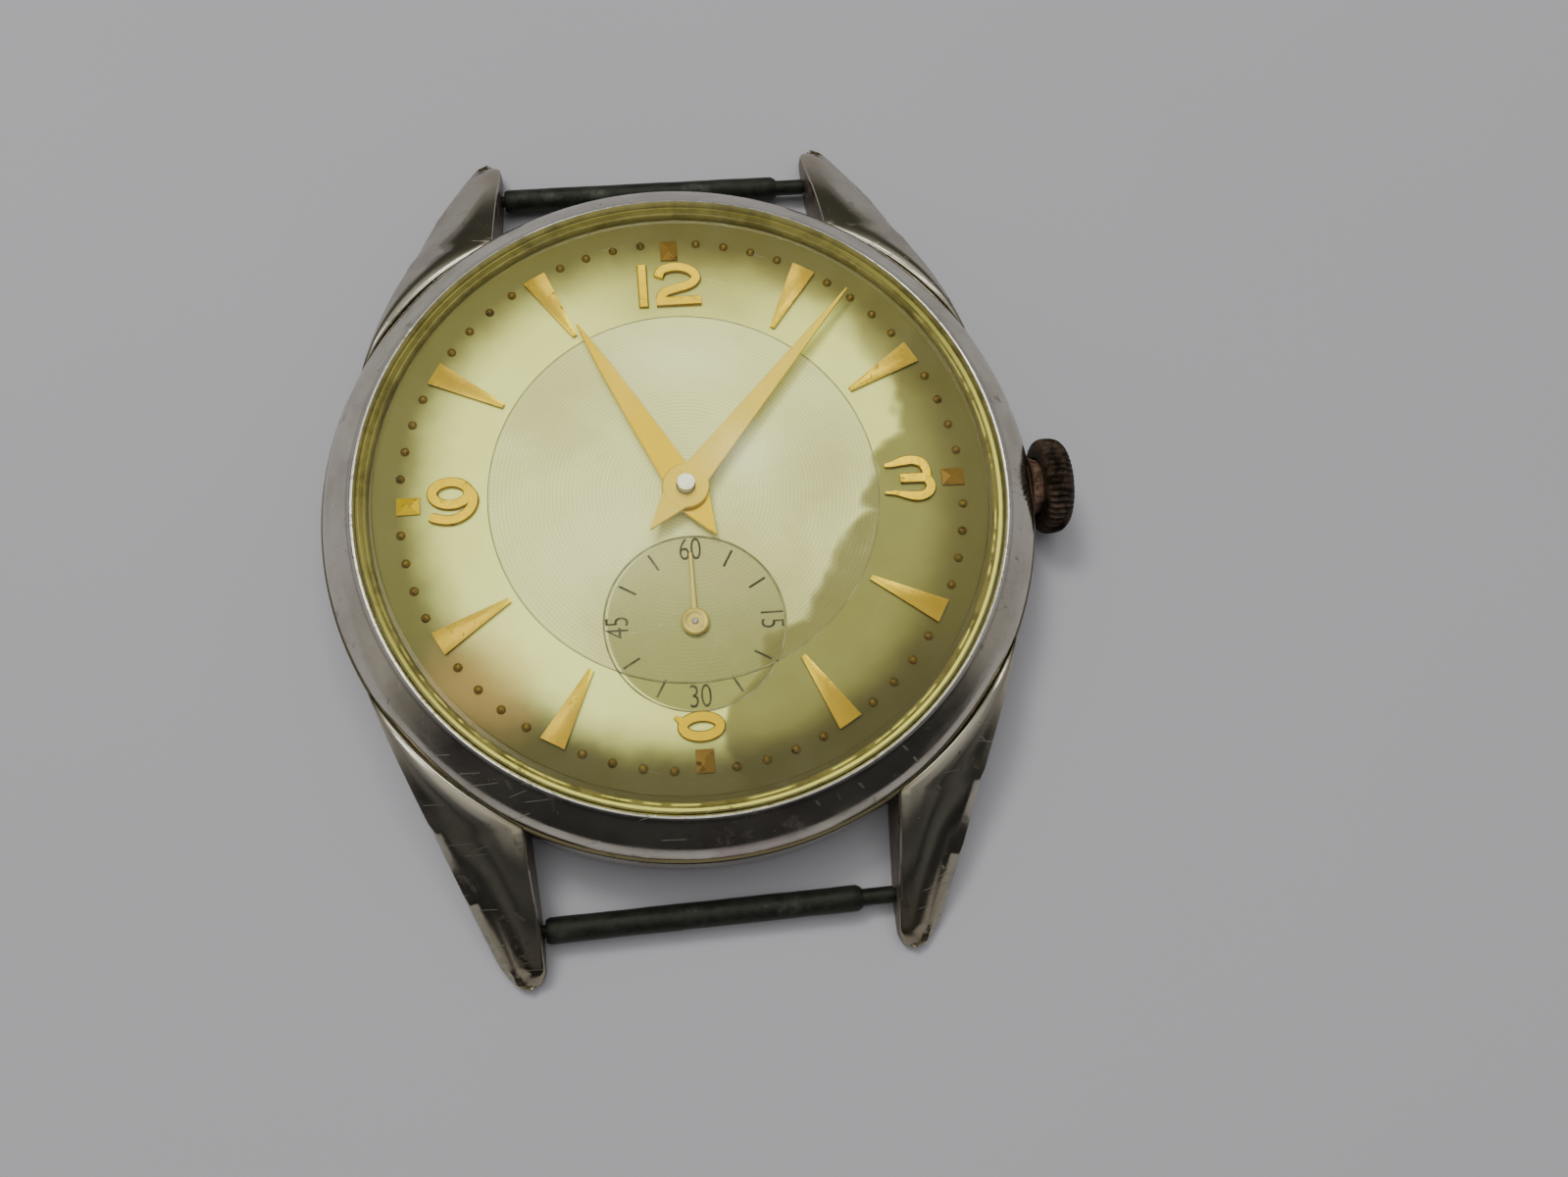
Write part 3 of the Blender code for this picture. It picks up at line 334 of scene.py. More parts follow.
def chrome_look(name, lip=False):
    """Worn plating: fine scratches, dull patches, pits, and grime where the bezel meets the case, with painted
    highlights on the bezel's lip and the lugs' crest and painted shade in the lip's groove.
    """
    look = Look(name)
    dull = look.noise(0.22, 5.0, 0.65)
    pits = look.span(look.cells(2.6), 0.03, 0.10, 1.0, 0.0)
    pits = look.times(pits, look.span(look.noise(0.35, 2.0), 0.52, 0.62))
    marks = look.scuffs(0.26, 1.6, 0.035, 3.0, (25, -48, 81))
    colour = look.blend(look.span(dull, 0.35, 0.7), (0.66, 0.62, 0.52), (0.50, 0.46, 0.37))
    haze = look.span(look.noise(0.16, 4.0, 0.6, distortion=0.5), 0.52, 0.66)
    colour = look.tint(colour, haze, 0.45, (0.44, 0.35, 0.36))
    axis = look.split()
    reach = look.vector("LENGTH", look.join(axis[0], axis[1], 0.0))
    if lip:
        # Painted highlight: a near-white line along the bezel's lip, broken up by nicks.
        nicks = look.noise(2.6, 4.0, 0.7)
        painted_light_and_wear = look.span(reach, LIP_R + 0.17, LIP_R + 0.27, 1.0, 0.0)
        painted_light_and_wear = look.times(painted_light_and_wear, look.span(nicks, 0.36, 0.46))
        colour = look.blend(painted_light_and_wear, colour, (0.93, 0.91, 0.84))
        # Painted shade: a dark line in the groove where the lip meets the slope.
        line = look.span(reach, LIP_R + 0.26, LIP_R + 0.30)
        line = look.times(line, look.span(reach, LIP_R + 0.48, LIP_R + 0.38))
        colour = look.tint(colour, line, 0.35, (0.16, 0.13, 0.16))
        low = look.span(axis[2], BEZEL_LOW + 0.62, BEZEL_LOW + 0.2)
        low = look.times(low, look.span(look.noise(0.8, 5.0, 0.7), 0.40, 0.55))
        colour = look.blend(low, colour, (0.20, 0.15, 0.07))
    else:
        grime = look.times(look.span(reach, 18.98, 18.82), look.span(axis[2], 4.2, 4.5))
        colour = look.blend(grime, colour, (0.16, 0.13, 0.05))
        # Painted highlight: a bright cream band along the lugs' crest next to the bezel.
        crest = look.times(look.span(reach, 20.3, 19.0), look.span(axis[2], 4.5, 4.8))
        colour = look.tint(colour, crest, 0.6, (0.97, 0.93, 0.82))
        colour = look.blend(0.4, colour, (0.25, 0.23, 0.17))
        under = look.span(axis[2], 3.6, 1.2)
        colour = look.tint(colour, under, 0.6, (0.34, 0.28, 0.17))
    smudge = look.span(look.noise(0.55, 6.0, 0.72, distortion=0.4), 0.60, 0.66)
    colour = look.tint(colour, smudge, 0.55, (0.19, 0.17, 0.14))
    nick = look.span(look.noise(1.7, 6.0, 0.78, distortion=0.3), 0.635, 0.665)
    colour = look.tint(colour, nick, 0.6, (0.13, 0.11, 0.09))
    colour = look.tint(colour, pits, 0.85, (0.06, 0.055, 0.05))
    rough = look.span(dull, 0.3, 0.75, 0.10, 0.26)
    rough = look.plus(rough, look.times(look.math("MAXIMUM", marks, smudge), 0.16), clamp=True)
    height = look.math("SUBTRACT", 1.0, look.math("MAXIMUM", marks, pits))
    normal = look.bump(height, 0.25, 0.02, look.bump(look.noise(0.9, 3.0), 0.10, 0.05))
    return look.set(Base_Color=colour, Metallic=1.0, Roughness=rough, Normal=normal)


def flank_look():
    """Plating gone from the lugs' outer flanks: pitted and straw-coloured, fading in from the case."""
    look = Look("worn_flank")
    crust = look.noise(2.4, 6.0, 0.7)
    colour = look.blend(look.span(crust, 0.35, 0.62), (0.22, 0.20, 0.14), (0.36, 0.34, 0.26))
    colour = look.blend(look.span(look.noise(0.5, 4.0), 0.5, 0.7), colour, (0.26, 0.26, 0.23))
    along = look.plus(look.math("ABSOLUTE", look.split()[1]), look.times(look.noise(0.6, 4.0), 3.0))
    gone = look.span(along, 14.0, 18.5)
    patch = look.times(gone, look.span(look.noise(0.45, 5.0, 0.7), 0.36, 0.58, 0.45, 1.0))
    colour = look.blend(patch, (0.42, 0.39, 0.31), colour)
    look.set(Base_Color=colour, Metallic=look.span(patch, 0.0, 1.0, 1.0, 0.75))
    look.set(Roughness=look.span(patch, 0.0, 1.0, 0.2, 0.44))
    return look.set(Normal=look.bump(look.times(crust, patch), 0.6, 0.08))


def clear_look():
    """The crystal's clean inside."""
    look = Look("acrylic_inside")
    clear = look.add("ShaderNodeBsdfTransparent")
    look.feed(clear.inputs["Color"], look.blend(look.noise(0.2), (1.0, 1.0, 0.97), (1.0, 1.0, 0.95)))
    return look.finished_with(clear)


def acrylic_look():
    """Clear scratched acrylic: what is behind shows through, and lamps reach it."""
    look = Look("scratched_acrylic")
    marks = look.scuffs(0.45, 4.0, 0.03, 5.0, (15, 70, -35, 120))
    swirl = look.span(look.noise(0.22, 5.0, 0.65, distortion=1.2), 0.45, 0.7)
    ripple = look.bump(look.noise(0.2, 3.0), 0.10, 0.12)
    clear = look.add("ShaderNodeBsdfTransparent")
    look.feed(clear.inputs["Color"], (0.99, 0.985, 0.90))
    shine = look.add("ShaderNodeBsdfGlossy")
    look.feed(shine.inputs["Roughness"], look.span(swirl, 0.0, 1.0, 0.16, 0.26))
    look.feed(shine.inputs["Normal"], look.bump(look.math("SUBTRACT", 1.0, marks), 0.3, 0.02, ripple))
    fresnel = look.add("ShaderNodeFresnel")
    look.feed(fresnel.inputs["IOR"], 1.49)
    haze = look.span(swirl, 0.0, 1.0, 0.006, 0.03)
    amount = look.plus(look.plus(fresnel.outputs[0], haze), look.times(marks, 0.05), clamp=True)
    surface, shadow = look.add("ShaderNodeMixShader"), look.add("ShaderNodeMixShader")
    shaded = look.add("ShaderNodeLightPath").outputs["Is Shadow Ray"]
    for mix, factor, first, second in ((surface, amount, clear, shine), (shadow, shaded, surface, clear)):
        look.feed(mix.inputs[0], factor)
        look.feed(mix.inputs[1], first.outputs[0])
        look.feed(mix.inputs[2], second.outputs[0])
    return look.finished_with(shadow)


def edge_look():
    """The thick edge of the acrylic: olive-brown, with painted light along two thin lines, brighter towards one
    side of the watch.
    """
    look = Look("yellowed_edge")
    axis = look.split()
    reach = look.vector("LENGTH", look.join(axis[0], axis[1], 0.0))
    side = look.plus(look.times(axis[0], 0.45), look.times(axis[1], -0.9))
    # Painted light: the lines brighten towards one side of the watch, by place alone.
    lit = look.span(side, -9.0, 12.0, 0.08, 1.0)
    grime = look.noise(0.7, 5.0, 0.7)
    wall = look.blend(look.span(grime, 0.4, 0.65), (0.17, 0.15, 0.048), (0.085, 0.072, 0.022))
    # Painted light: two thin bright yellow lines in the acrylic's edge, dimmed where grimy.
    bead = look.times(look.span(reach, 16.42, 16.47), look.span(reach, 16.62, 16.57))
    inner = look.times(look.span(reach, 16.20, 16.23), look.span(reach, 16.33, 16.29))
    inner = look.times(inner, look.span(look.noise(0.9, 3.0), 0.46, 0.56, 0.0, 0.6))
    line = look.times(look.math("MAXIMUM", bead, inner), look.span(grime, 0.62, 0.7, 1.0, 0.25))
    colour = look.blend(look.times(line, lit), wall, (0.90, 0.88, 0.22))
    look.set(Base_Color=colour, Roughness=0.3)
    return look.set(Normal=look.bump(look.noise(2.0, 3.0), 0.2, 0.05))


def dial_look():
    """Aged champagne lacquer with a silver-grey centre, damp stains, specks and fine turning. Its tone carries
    painted sheen in lighter and darker patches, and its rim painted shade along with dirt.
    """
    look = Look("aged_dial")
    axis = look.split()
    flat = look.join(axis[0], axis[1], 0.0)
    reach = look.vector("LENGTH", flat)
    drift = look.vector("SUBTRACT", look.noise(0.16, 3.0, 0.5, flat, output="Color"), (0.5, 0.5, 0.5))
    warped = look.vector("ADD", flat, look.vector("SCALE", drift, scale=6.0))

    def blob(x, y, radius, soft):
        return look.span(look.vector("DISTANCE", warped, (x, y, 0.0)), radius - soft, radius + soft, 1.0, 0.0)

    def spread(blobs):
        total = blob(*blobs[0])
        for one in blobs[1:]:
            total = look.math("MAXIMUM", total, blob(*one))
        return total

    cloud = look.noise(0.12, 4.0, 0.6, flat)
    colour = look.blend(look.span(cloud, 0.3, 0.7), (0.70, 0.735, 0.235), (0.80, 0.855, 0.31))
    # Painted sheen: the outer dial is lighter towards 8 o'clock.
    colour = look.tint(colour, blob(-8.0, -7.5, 5.0, 4.5), 0.7, (0.87, 0.94, 0.40))
    colour = look.tint(colour, blob(1.0, 16.5, 6.0, 4.0), 0.85, (0.26, 0.24, 0.06))
    silver = look.blend(look.span(cloud, 0.3, 0.7), (0.64, 0.675, 0.33), (0.73, 0.77, 0.39))
    # Painted sheen: darker patches on the silver centre stand for where it shows no sheen.
    silver = look.tint(silver, blob(3.0, -7.0, 4.0, 4.0), 0.7, (0.40, 0.395, 0.16))
    for sheenless_patch in ((-6.0, 6.2, 2.6, 2.4), (7.6, 0.6, 2.4, 2.4), (-4.0, -6.4, 2.2, 2.4)):
        silver = look.tint(silver, blob(*sheenless_patch), 0.6, (0.42, 0.43, 0.19))
    inside = look.span(reach, DISC_R - 0.04, DISC_R + 0.04, 1.0, 0.0)
    colour = look.blend(inside, colour, silver)

    away = look.vector("DISTANCE", flat, (0.0, SUB_Y, 0.0))
    small = look.span(away, SUB_R - 0.05, SUB_R + 0.02, 1.0, 0.0)
    sunk = look.blend(look.span(axis[1], -11.0, -3.0), (0.16, 0.165, 0.045), (0.32, 0.33, 0.15))
    colour = look.tint(colour, small, 0.82, sunk)

    stained = look.blend(look.noise(0.35, 4.0, 0.6, flat), (0.080, 0.074, 0.014), (0.165, 0.150, 0.034))
    stain = spread([(13.5, -10.5, 8.8, 0.3), (9.0, -14.5, 8.0, 0.3), (15.5, -1.0, 5.0, 0.3),
                    (15.6, 4.2, 4.5, 0.3)])
    damp = spread([(13.5, 8.6, 3.6, 0.8), (8.0, 13.8, 3.2, 1.0), (2.0, 16.0, 3.0, 1.4)])
    colour = look.tint(colour, damp, 0.6, (0.23, 0.20, 0.055))
    colour = look.tint(colour, stain, 0.86, stained)
    edge = look.times(stain, look.span(stain, 1.0, 0.6))
    colour = look.tint(colour, edge, 0.5, (0.14, 0.115, 0.03))
    # The rim darkens outwards, partly as dirt and partly as painted shade of the bezel and the crystal's edge, and
    # further towards 6 o'clock.
    uneven = look.plus(reach, look.times(look.noise(0.3, 3.0, 0.6, flat), 1.3))
    colour = look.tint(colour, look.span(uneven, 12.5, 15.6), 0.94, (0.072, 0.062, 0.013))
    low = look.times(look.span(uneven, 13.6, 15.4), look.span(axis[1], -6.0, -12.0))
    colour = look.tint(colour, low, 0.75, (0.035, 0.030, 0.007))
    colour = look.tint(colour, blob(-10.6, -9.6, 2.6, 1.6), 0.45, (0.50, 0.31, 0.10))
    colour = look.tint(colour, look.times(look.span(cloud, 0.52, 0.62), inside), 0.25, (0.40, 0.38, 0.19))

    specks = look.span(look.cells(1.3, flat), 0.02, 0.055, 1.0, 0.0)
    specks = look.times(specks, look.span(look.noise(0.7, 2.0, 0.5, flat), 0.50, 0.56))
    colour = look.tint(colour, specks, 0.8, (0.07, 0.055, 0.015))

    rings = look.math("SINE", look.times(reach, 2 * pi / 0.20))
    spokes = look.math("SINE", look.times(look.math("ARCTAN2", axis[1], axis[0]), 300.0))
    linen = look.times(look.plus(rings, look.times(spokes, 0.6)), inside)
    small_rings = look.times(look.math("SINE", look.times(away, 2 * pi / 0.16)), small)
    grain = look.plus(linen, small_rings)
    colour = look.blend(look.span(grain, -1.4, 1.4, 0.0, 0.20), colour, (0.12, 0.115, 0.04))
    normal = look.bump(grain, 0.2, 0.02, look.bump(look.noise(2.5, 4.0, 0.6, flat), 0.12, 0.03))
    look.set(Base_Color=colour, Roughness=look.span(look.noise(0.5, 4.0, 0.6, flat), 0.3, 0.7, 0.42, 0.58))
    return look.set(Normal=normal, Metallic=0.12)


def gold_look(name, bright, dark, corrosion, rough=0.24, ends=None):
    """Gilt metal that browns in specks. It can grow duller away from the dial's centre: painted shade towards the
    rim, along with dirt.
    """
    look = Look(name)
    spots = look.span(look.noise(1.3, 6.0, 0.7), 0.62 - corrosion, 0.72 - corrosion)
    fine = look.span(look.cells(3.0), 0.05, 0.14, 1.0, 0.0)
    fine = look.times(fine, look.span(look.noise(0.8, 2.0), 0.5, 0.6))
    colour = look.blend(look.noise(0.6, 3.0), bright, [v * 0.82 for v in bright])
    # Painted shade with dirt: duller towards the dial's rim.
    if ends:
        duller, start, stop = ends
        colour = look.blend(look.span(look.vector("LENGTH", look.mm), start, stop), colour, duller)
    colour = look.blend(look.math("MAXIMUM", spots, fine), colour, dark)
    roughness = look.plus(rough, look.times(spots, 0.25))
    normal = look.bump(look.noise(1.6, 4.0), 0.22, 0.05)
    return look.set(Base_Color=colour, Metallic=0.8, Roughness=roughness, Normal=normal)


def ink_look(name, strong, faded):
    look = Look(name)
    faded = look.blend(look.span(look.noise(0.9, 4.0, 0.7), 0.4, 0.7), strong, faded)
    return look.set(Base_Color=faded, Roughness=0.6)


def oxide_look():
    """Steel gone dark green-grey, with a painted highlight along the top."""
    look = Look("oxidised_steel")
    crust = look.noise(1.2, 6.0, 0.7)
    colour = look.blend(look.span(crust, 0.35, 0.65), (0.028, 0.032, 0.025), (0.052, 0.056, 0.042))
    # Painted highlight: lighter along the top of the bar, broken up by noise.
    top_highlight = look.times(look.span(look.split()[2], BAR_Z + 0.42, BAR_Z + 0.64),
                       look.span(look.noise(0.35, 5.0, 0.7), 0.50, 0.66, 0.0, 0.5))
    colour = look.tint(colour, top_highlight, 0.5, (0.26, 0.27, 0.23))
    rough = look.span(crust, 0.3, 0.7, 0.38, 0.62)
    return look.set(Base_Color=colour, Metallic=0.85, Roughness=rough, Normal=look.bump(crust, 0.5, 0.06))


def corroded_look(name, dark, light, metal=0.6, scale=1.4):
    look = Look(name)
    crust = look.noise(scale, 6.0, 0.7)
    colour = look.blend(look.span(crust, 0.42, 0.62), dark, light)
    look.set(Base_Color=colour, Metallic=metal, Roughness=look.span(crust, 0.3, 0.7, 0.32, 0.6))
    return look.set(Normal=look.bump(crust, 0.45, 0.05))


def steel_look(name, colour, rough, grain_turn=0.0, metal=1.0):
    """Clean movement metal with a drawn grain."""
    look = Look(name)
    grain = look.noise(1.0, 3.0, 0.6, look.stretched(grain_turn, (0.4, 9.0, 2.0)))
    tone = look.blend(grain, [v * 0.85 for v in colour], [min(1.0, v * 1.1) for v in colour])
    roughness = look.span(grain, 0.3, 0.7, rough * 0.8, rough * 1.25)
    return look.set(Base_Color=tone, Metallic=metal, Roughness=roughness, Normal=look.bump(grain, 0.12, 0.02))


def gilt_plate_look(name, colour):
    """Frosted gilding."""
    look = Look(name)
    frost = look.noise(9.0, 3.0, 0.7)
    tone = look.blend(look.noise(0.3, 4.0), colour, [v * 0.78 for v in colour])
    return look.set(Base_Color=tone, Metallic=1.0, Roughness=0.38, Normal=look.bump(frost, 0.3, 0.02))


# ---------------------------------------------------------------- meshes
def piece(name, work, looks, smooth=35.0, at=None):
    """A named object in metres from a bmesh in millimetres."""
    mesh = bpy.data.meshes.new(name)
    bmesh.ops.recalc_face_normals(work, faces=work.faces)
    work.to_mesh(mesh)
    work.free()
    mesh.transform(at or Matrix())
    mesh.transform(Matrix.Scale(MM, 4))
    mesh.shade_smooth()
    if smooth:
        mesh.set_sharp_from_angle(angle=radians(smooth))
    for look in looks if isinstance(looks, (list, tuple)) else [looks]:
        mesh.materials.append(look)
    made = bpy.data.objects.new(name, mesh)
    bpy.context.scene.collection.objects.link(made)
    return made


def revolve(work, profile, steps=SIDES, closed=False, radius_of=None):
    """Turn (radius, height) points about Z. Open profiles may start and end on the axis."""
    rings = []
    for r, z in profile:
        if r == 0:
            rings.append([work.verts.new((0, 0, z))])
            continue
        ring = []
        for i in range(steps):
            a = 2 * pi * i / steps
            reach = radius_of(r, z, a) if radius_of else r
            ring.append(work.verts.new((reach * cos(a), reach * sin(a), z)))
        rings.append(ring)
    pairs = list(zip(rings, rings[1:]))
    if closed:
        pairs.append((rings[-1], rings[0]))
    for upper, lower in pairs:
        for i in range(steps):
            j = (i + 1) % steps
            if len(upper) == 1:
                work.faces.new((upper[0], lower[i], lower[j]))
            elif len(lower) == 1:
                work.faces.new((upper[i], lower[0], upper[j]))
            else:
                work.faces.new((upper[i], lower[i], lower[j], upper[j]))
    return work


def turned(name, profile, looks, closed=False, steps=SIDES, at=None, radius_of=None, smooth=35.0):
    return piece(name, revolve(bmesh.new(), profile, steps, closed, radius_of), looks, smooth, at)


def rounded(corners, radius, count=4):
    """Round the corners of a profile, keeping its first and last points."""
    points = [corners[0]]
    for before, here, after in zip(corners, corners[1:], corners[2:]):
        to_before, to_after = Vector(before) - Vector(here), Vector(after) - Vector(here)
        cut = min(radius, to_before.length * 0.45, to_after.length * 0.45)
        start = Vector(here) + to_before.normalized() * cut
        end = Vector(here) + to_after.normalized() * cut
        for i in range(count + 1):
            t = i / count
            point = start * (1 - t) ** 2 + Vector(here) * 2 * t * (1 - t) + end * t**2
            points.append(tuple(point))
    return points + [corners[-1]]


def on_crown_axis():
    """From a piece turned about Z to the crown's axis."""
    return Matrix.Translation((0, 0, STEM_Z)) @ Matrix.Rotation(pi / 2, 4, "Y")


def around(radius, angle):
    """A point at an angle in degrees counter-clockwise from +X."""
    return radius * cos(radians(angle)), radius * sin(radians(angle))


def slab(work, outline, low, high, chamfer=0.0, edge_slot=0):
    """A flat piece with a narrowed top edge. Its sides can take another material."""
    count = len(outline)
    middle = Vector((sum(x for x, y in outline) / count, sum(y for x, y in outline) / count))
    normals = []
    for i in range(count):
        before, after = Vector(outline[i - 1]), Vector(outline[(i + 1) % count])
        along = (after - before).normalized()
        normals.append(Vector((along.y, -along.x)))
    if sum((Vector(p) - middle).dot(n) for p, n in zip(outline, normals)) < 0:
        normals = [-n for n in normals]
    inset = [Vector(p) - n * chamfer for p, n in zip(outline, normals)]
    levels = [[(x, y, low) for x, y in outline], [(x, y, high - chamfer) for x, y in outline]]
    if chamfer:
        levels.append([(p.x, p.y, high) for p in inset])
    rings = [[work.verts.new(v) for v in level] for level in levels]
    work.faces.new(list(reversed(rings[0])))
    work.faces.new(rings[-1])
    for lower, upper in zip(rings, rings[1:]):
        for i in range(count):
            j = (i + 1) % count
            work.faces.new((lower[i], lower[j], upper[j], upper[i])).material_index = edge_slot


def stroke(work, path, width, low, high, chamfer, closed=False, ends=(1.0, 1.0)):
    """A raised bar along a path, its shoulders in the second material. It can narrow to its ends."""
    count = len(path)
    rows = []
    for i, (x, y) in enumerate(path):
        before = Vector(path[i - 1] if closed or i else path[i])
        after = Vector(path[(i + 1) % count] if closed or i < count - 1 else path[i])
        along = (after - before).normalized()
        share = i / (count - 1)
        full = min(1.0, ends[0] + share * 3.5, ends[1] + (1 - share) * 3.5)
        side = Vector((-along.y, along.x)) * width * full / 2
        inner = side * (1 - 2 * chamfer / width)
        here = Vector((x, y))
        rows.append([
            work.verts.new((*(here + side), low)), work.verts.new((*(here + side), high - chamfer)),
            work.verts.new((*(here + inner), high)), work.verts.new((*(here - inner), high)),
            work.verts.new((*(here - side), high - chamfer)), work.verts.new((*(here - side), low)),
        ])
    for a, b in zip(rows, rows[1:] + (rows[:1] if closed else [])):
        for i in range(6):
            j = (i + 1) % 6
            work.faces.new((a[i], a[j], b[j], b[i])).material_index = int(i != 2)
    if not closed:
        work.faces.new(rows[0])
        work.faces.new(list(reversed(rows[-1])))


def flowing(points, between=6):
    """A smooth line through points."""
    line = [Vector(p) for p in points]
    guides = [2 * line[0] - line[1]] + line + [2 * line[-1] - line[-2]]
    path = []
    for a, b, c, d in zip(guides, guides[1:], guides[2:], guides[3:]):
        for i in range(between):
            t = i / between
            path.append(tuple(0.5 * ((2 * b) + (c - a) * t + (2 * a - 5 * b + 4 * c - d) * t**2
                                     + (3 * b - a - 3 * c + d) * t**3)))
    return path + [tuple(line[-1])]


def read(line, place):
    """The value at a place on a broken line of (place, value) points."""
    for (low, first), (high, last) in zip(line, line[1:]):
        if place <= high:
            return first + (last - first) * (place - low) / (high - low)
    return line[-1][1]


def turned_by(angle, x=0.0, y=0.0):
    return Matrix.Translation((x, y, 0)) @ Matrix.Rotation(radians(angle), 4, "Z")


def ride(made, body, slot, *nodes):
    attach(made, body)
    if nodes:
        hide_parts(*nodes)
    return made


# ---------------------------------------------------------------- case
def lug_top(y):
    """The lugs' crest runs level, then hooks down."""
    past, bend = max(0.0, y - 12.0), 18.6
    return 5.04 - bend + sqrt(bend**2 - past**2) - 0.35 * max(0.0, y - 22.9) ** 2


def lug_flank(y, z):
    """How far out the lug's outer side stands. Towards the tip it slopes outwards on its way down."""
    return min(read(LUG_OUTER, y), 14.5 - 0.8185 * (y - 14.7) + 0.792 * (4.7 - z))


def lug_section(y):
    """Points around a lug across its length: up the inner side, over the crest and down the flank."""
    inner = read(LUG_INNER, y)
    root = max(inner, sqrt(max(0.0, 17.7**2 - y * y)))
    clear = max(inner, sqrt(max(0.0, (BEZEL_R + 0.03) ** 2 - y * y)))
    bottom = read(LUG_UNDER, y)
    top = max(lug_top(y), bottom + 0.25)
    edge = min(0.16, (top - bottom) * 0.3)
    rise = min(1.0, max(0.0, (y - 8.7) / 3.0))
    top -= (top - BEZEL_LOW + 0.12) * (1 - rise) ** 2
    outer = max(lug_flank(y, top - 0.3), root + 0.4) if y < 23 else lug_flank(y, top)
    clear = min(clear, outer - 0.2) if y < 12 else clear
    width = max(0.02, outer - clear)
    sag = min(0.9, 0.30 * width, (top - bottom) * 0.4)
    shelf = BEZEL_LOW - 0.1 if root < clear - 0.01 else top - edge
    shelf = min(shelf, top - edge)
    points = [(root, bottom + 0.08), (root, shelf), (clear, shelf), (clear, top - edge)]
    round_off = min(edge, width * 0.3)
    points += [(clear + round_off * (1 - cos(a)), top - edge + edge * sin(a)) for a in (0.5, 1.0, 1.57)]
    start = clear + round_off
    for k in range(1, 9):
        share = k / 8
        points.append((start + (outer - start) * share, top - sag * max(0.0, (share - 0.28) / 0.72) ** 1.6))
    side = top - sag
    for k in range(1, 8):
        z = side + (bottom + 0.28 - side) * k / 7
        x = max(lug_flank(y, z), outer) if y < 23 else lug_flank(y, z)
        points.append((x - 0.02 + 0.07 * min(1.0, k / 2), z))
    low_side = points[-1][0]
    points[-1] = (low_side - 0.05, bottom + 0.28)
    return points + [(max(low_side - 0.4, root + 0.02), bottom), (root + 0.02, bottom)]


def make_lugs(plating, flank, grime_and_shade):
    """Four hooked lugs, each lofted through sections across it."""
    stations = [8.2 + 14.0 * i / 40 for i in range(41)]
    stations += [22.2 + 1.7 * sin(pi / 2 * i / 14) for i in range(1, 15)]
    for sx, sy, name in ((1, 1, "lug_1"), (-1, 1, "lug_11"), (-1, -1, "lug_7"), (1, -1, "lug_5")):
        work = bmesh.new()
        rows = [[work.verts.new((sx * x, sy * y, z)) for x, z in lug_section(y)] for y in stations]
        for y, a, b in zip(stations, rows, rows[1:]):
            for k in range(len(a)):
                m = (k + 1) % len(a)
                face = work.faces.new((a[k], a[m], b[m], b[k]))
                if 15 <= k <= 22 and y > 12.5:
                    face.material_index = 1
                # The inner side, the ledge under the bezel and a strip of the underside take grime with painted
                # shade.
                elif k in (0, 1) or k > 22:
                    face.material_index = 2
        work.faces.new(rows[0])
        work.faces.new(list(reversed(rows[-1])))
        bmesh.ops.remove_doubles(work, verts=work.verts, dist=0.0005)
        ride(piece(name, work, [plating, flank, grime_and_shade], 30), "case", "case_metal")


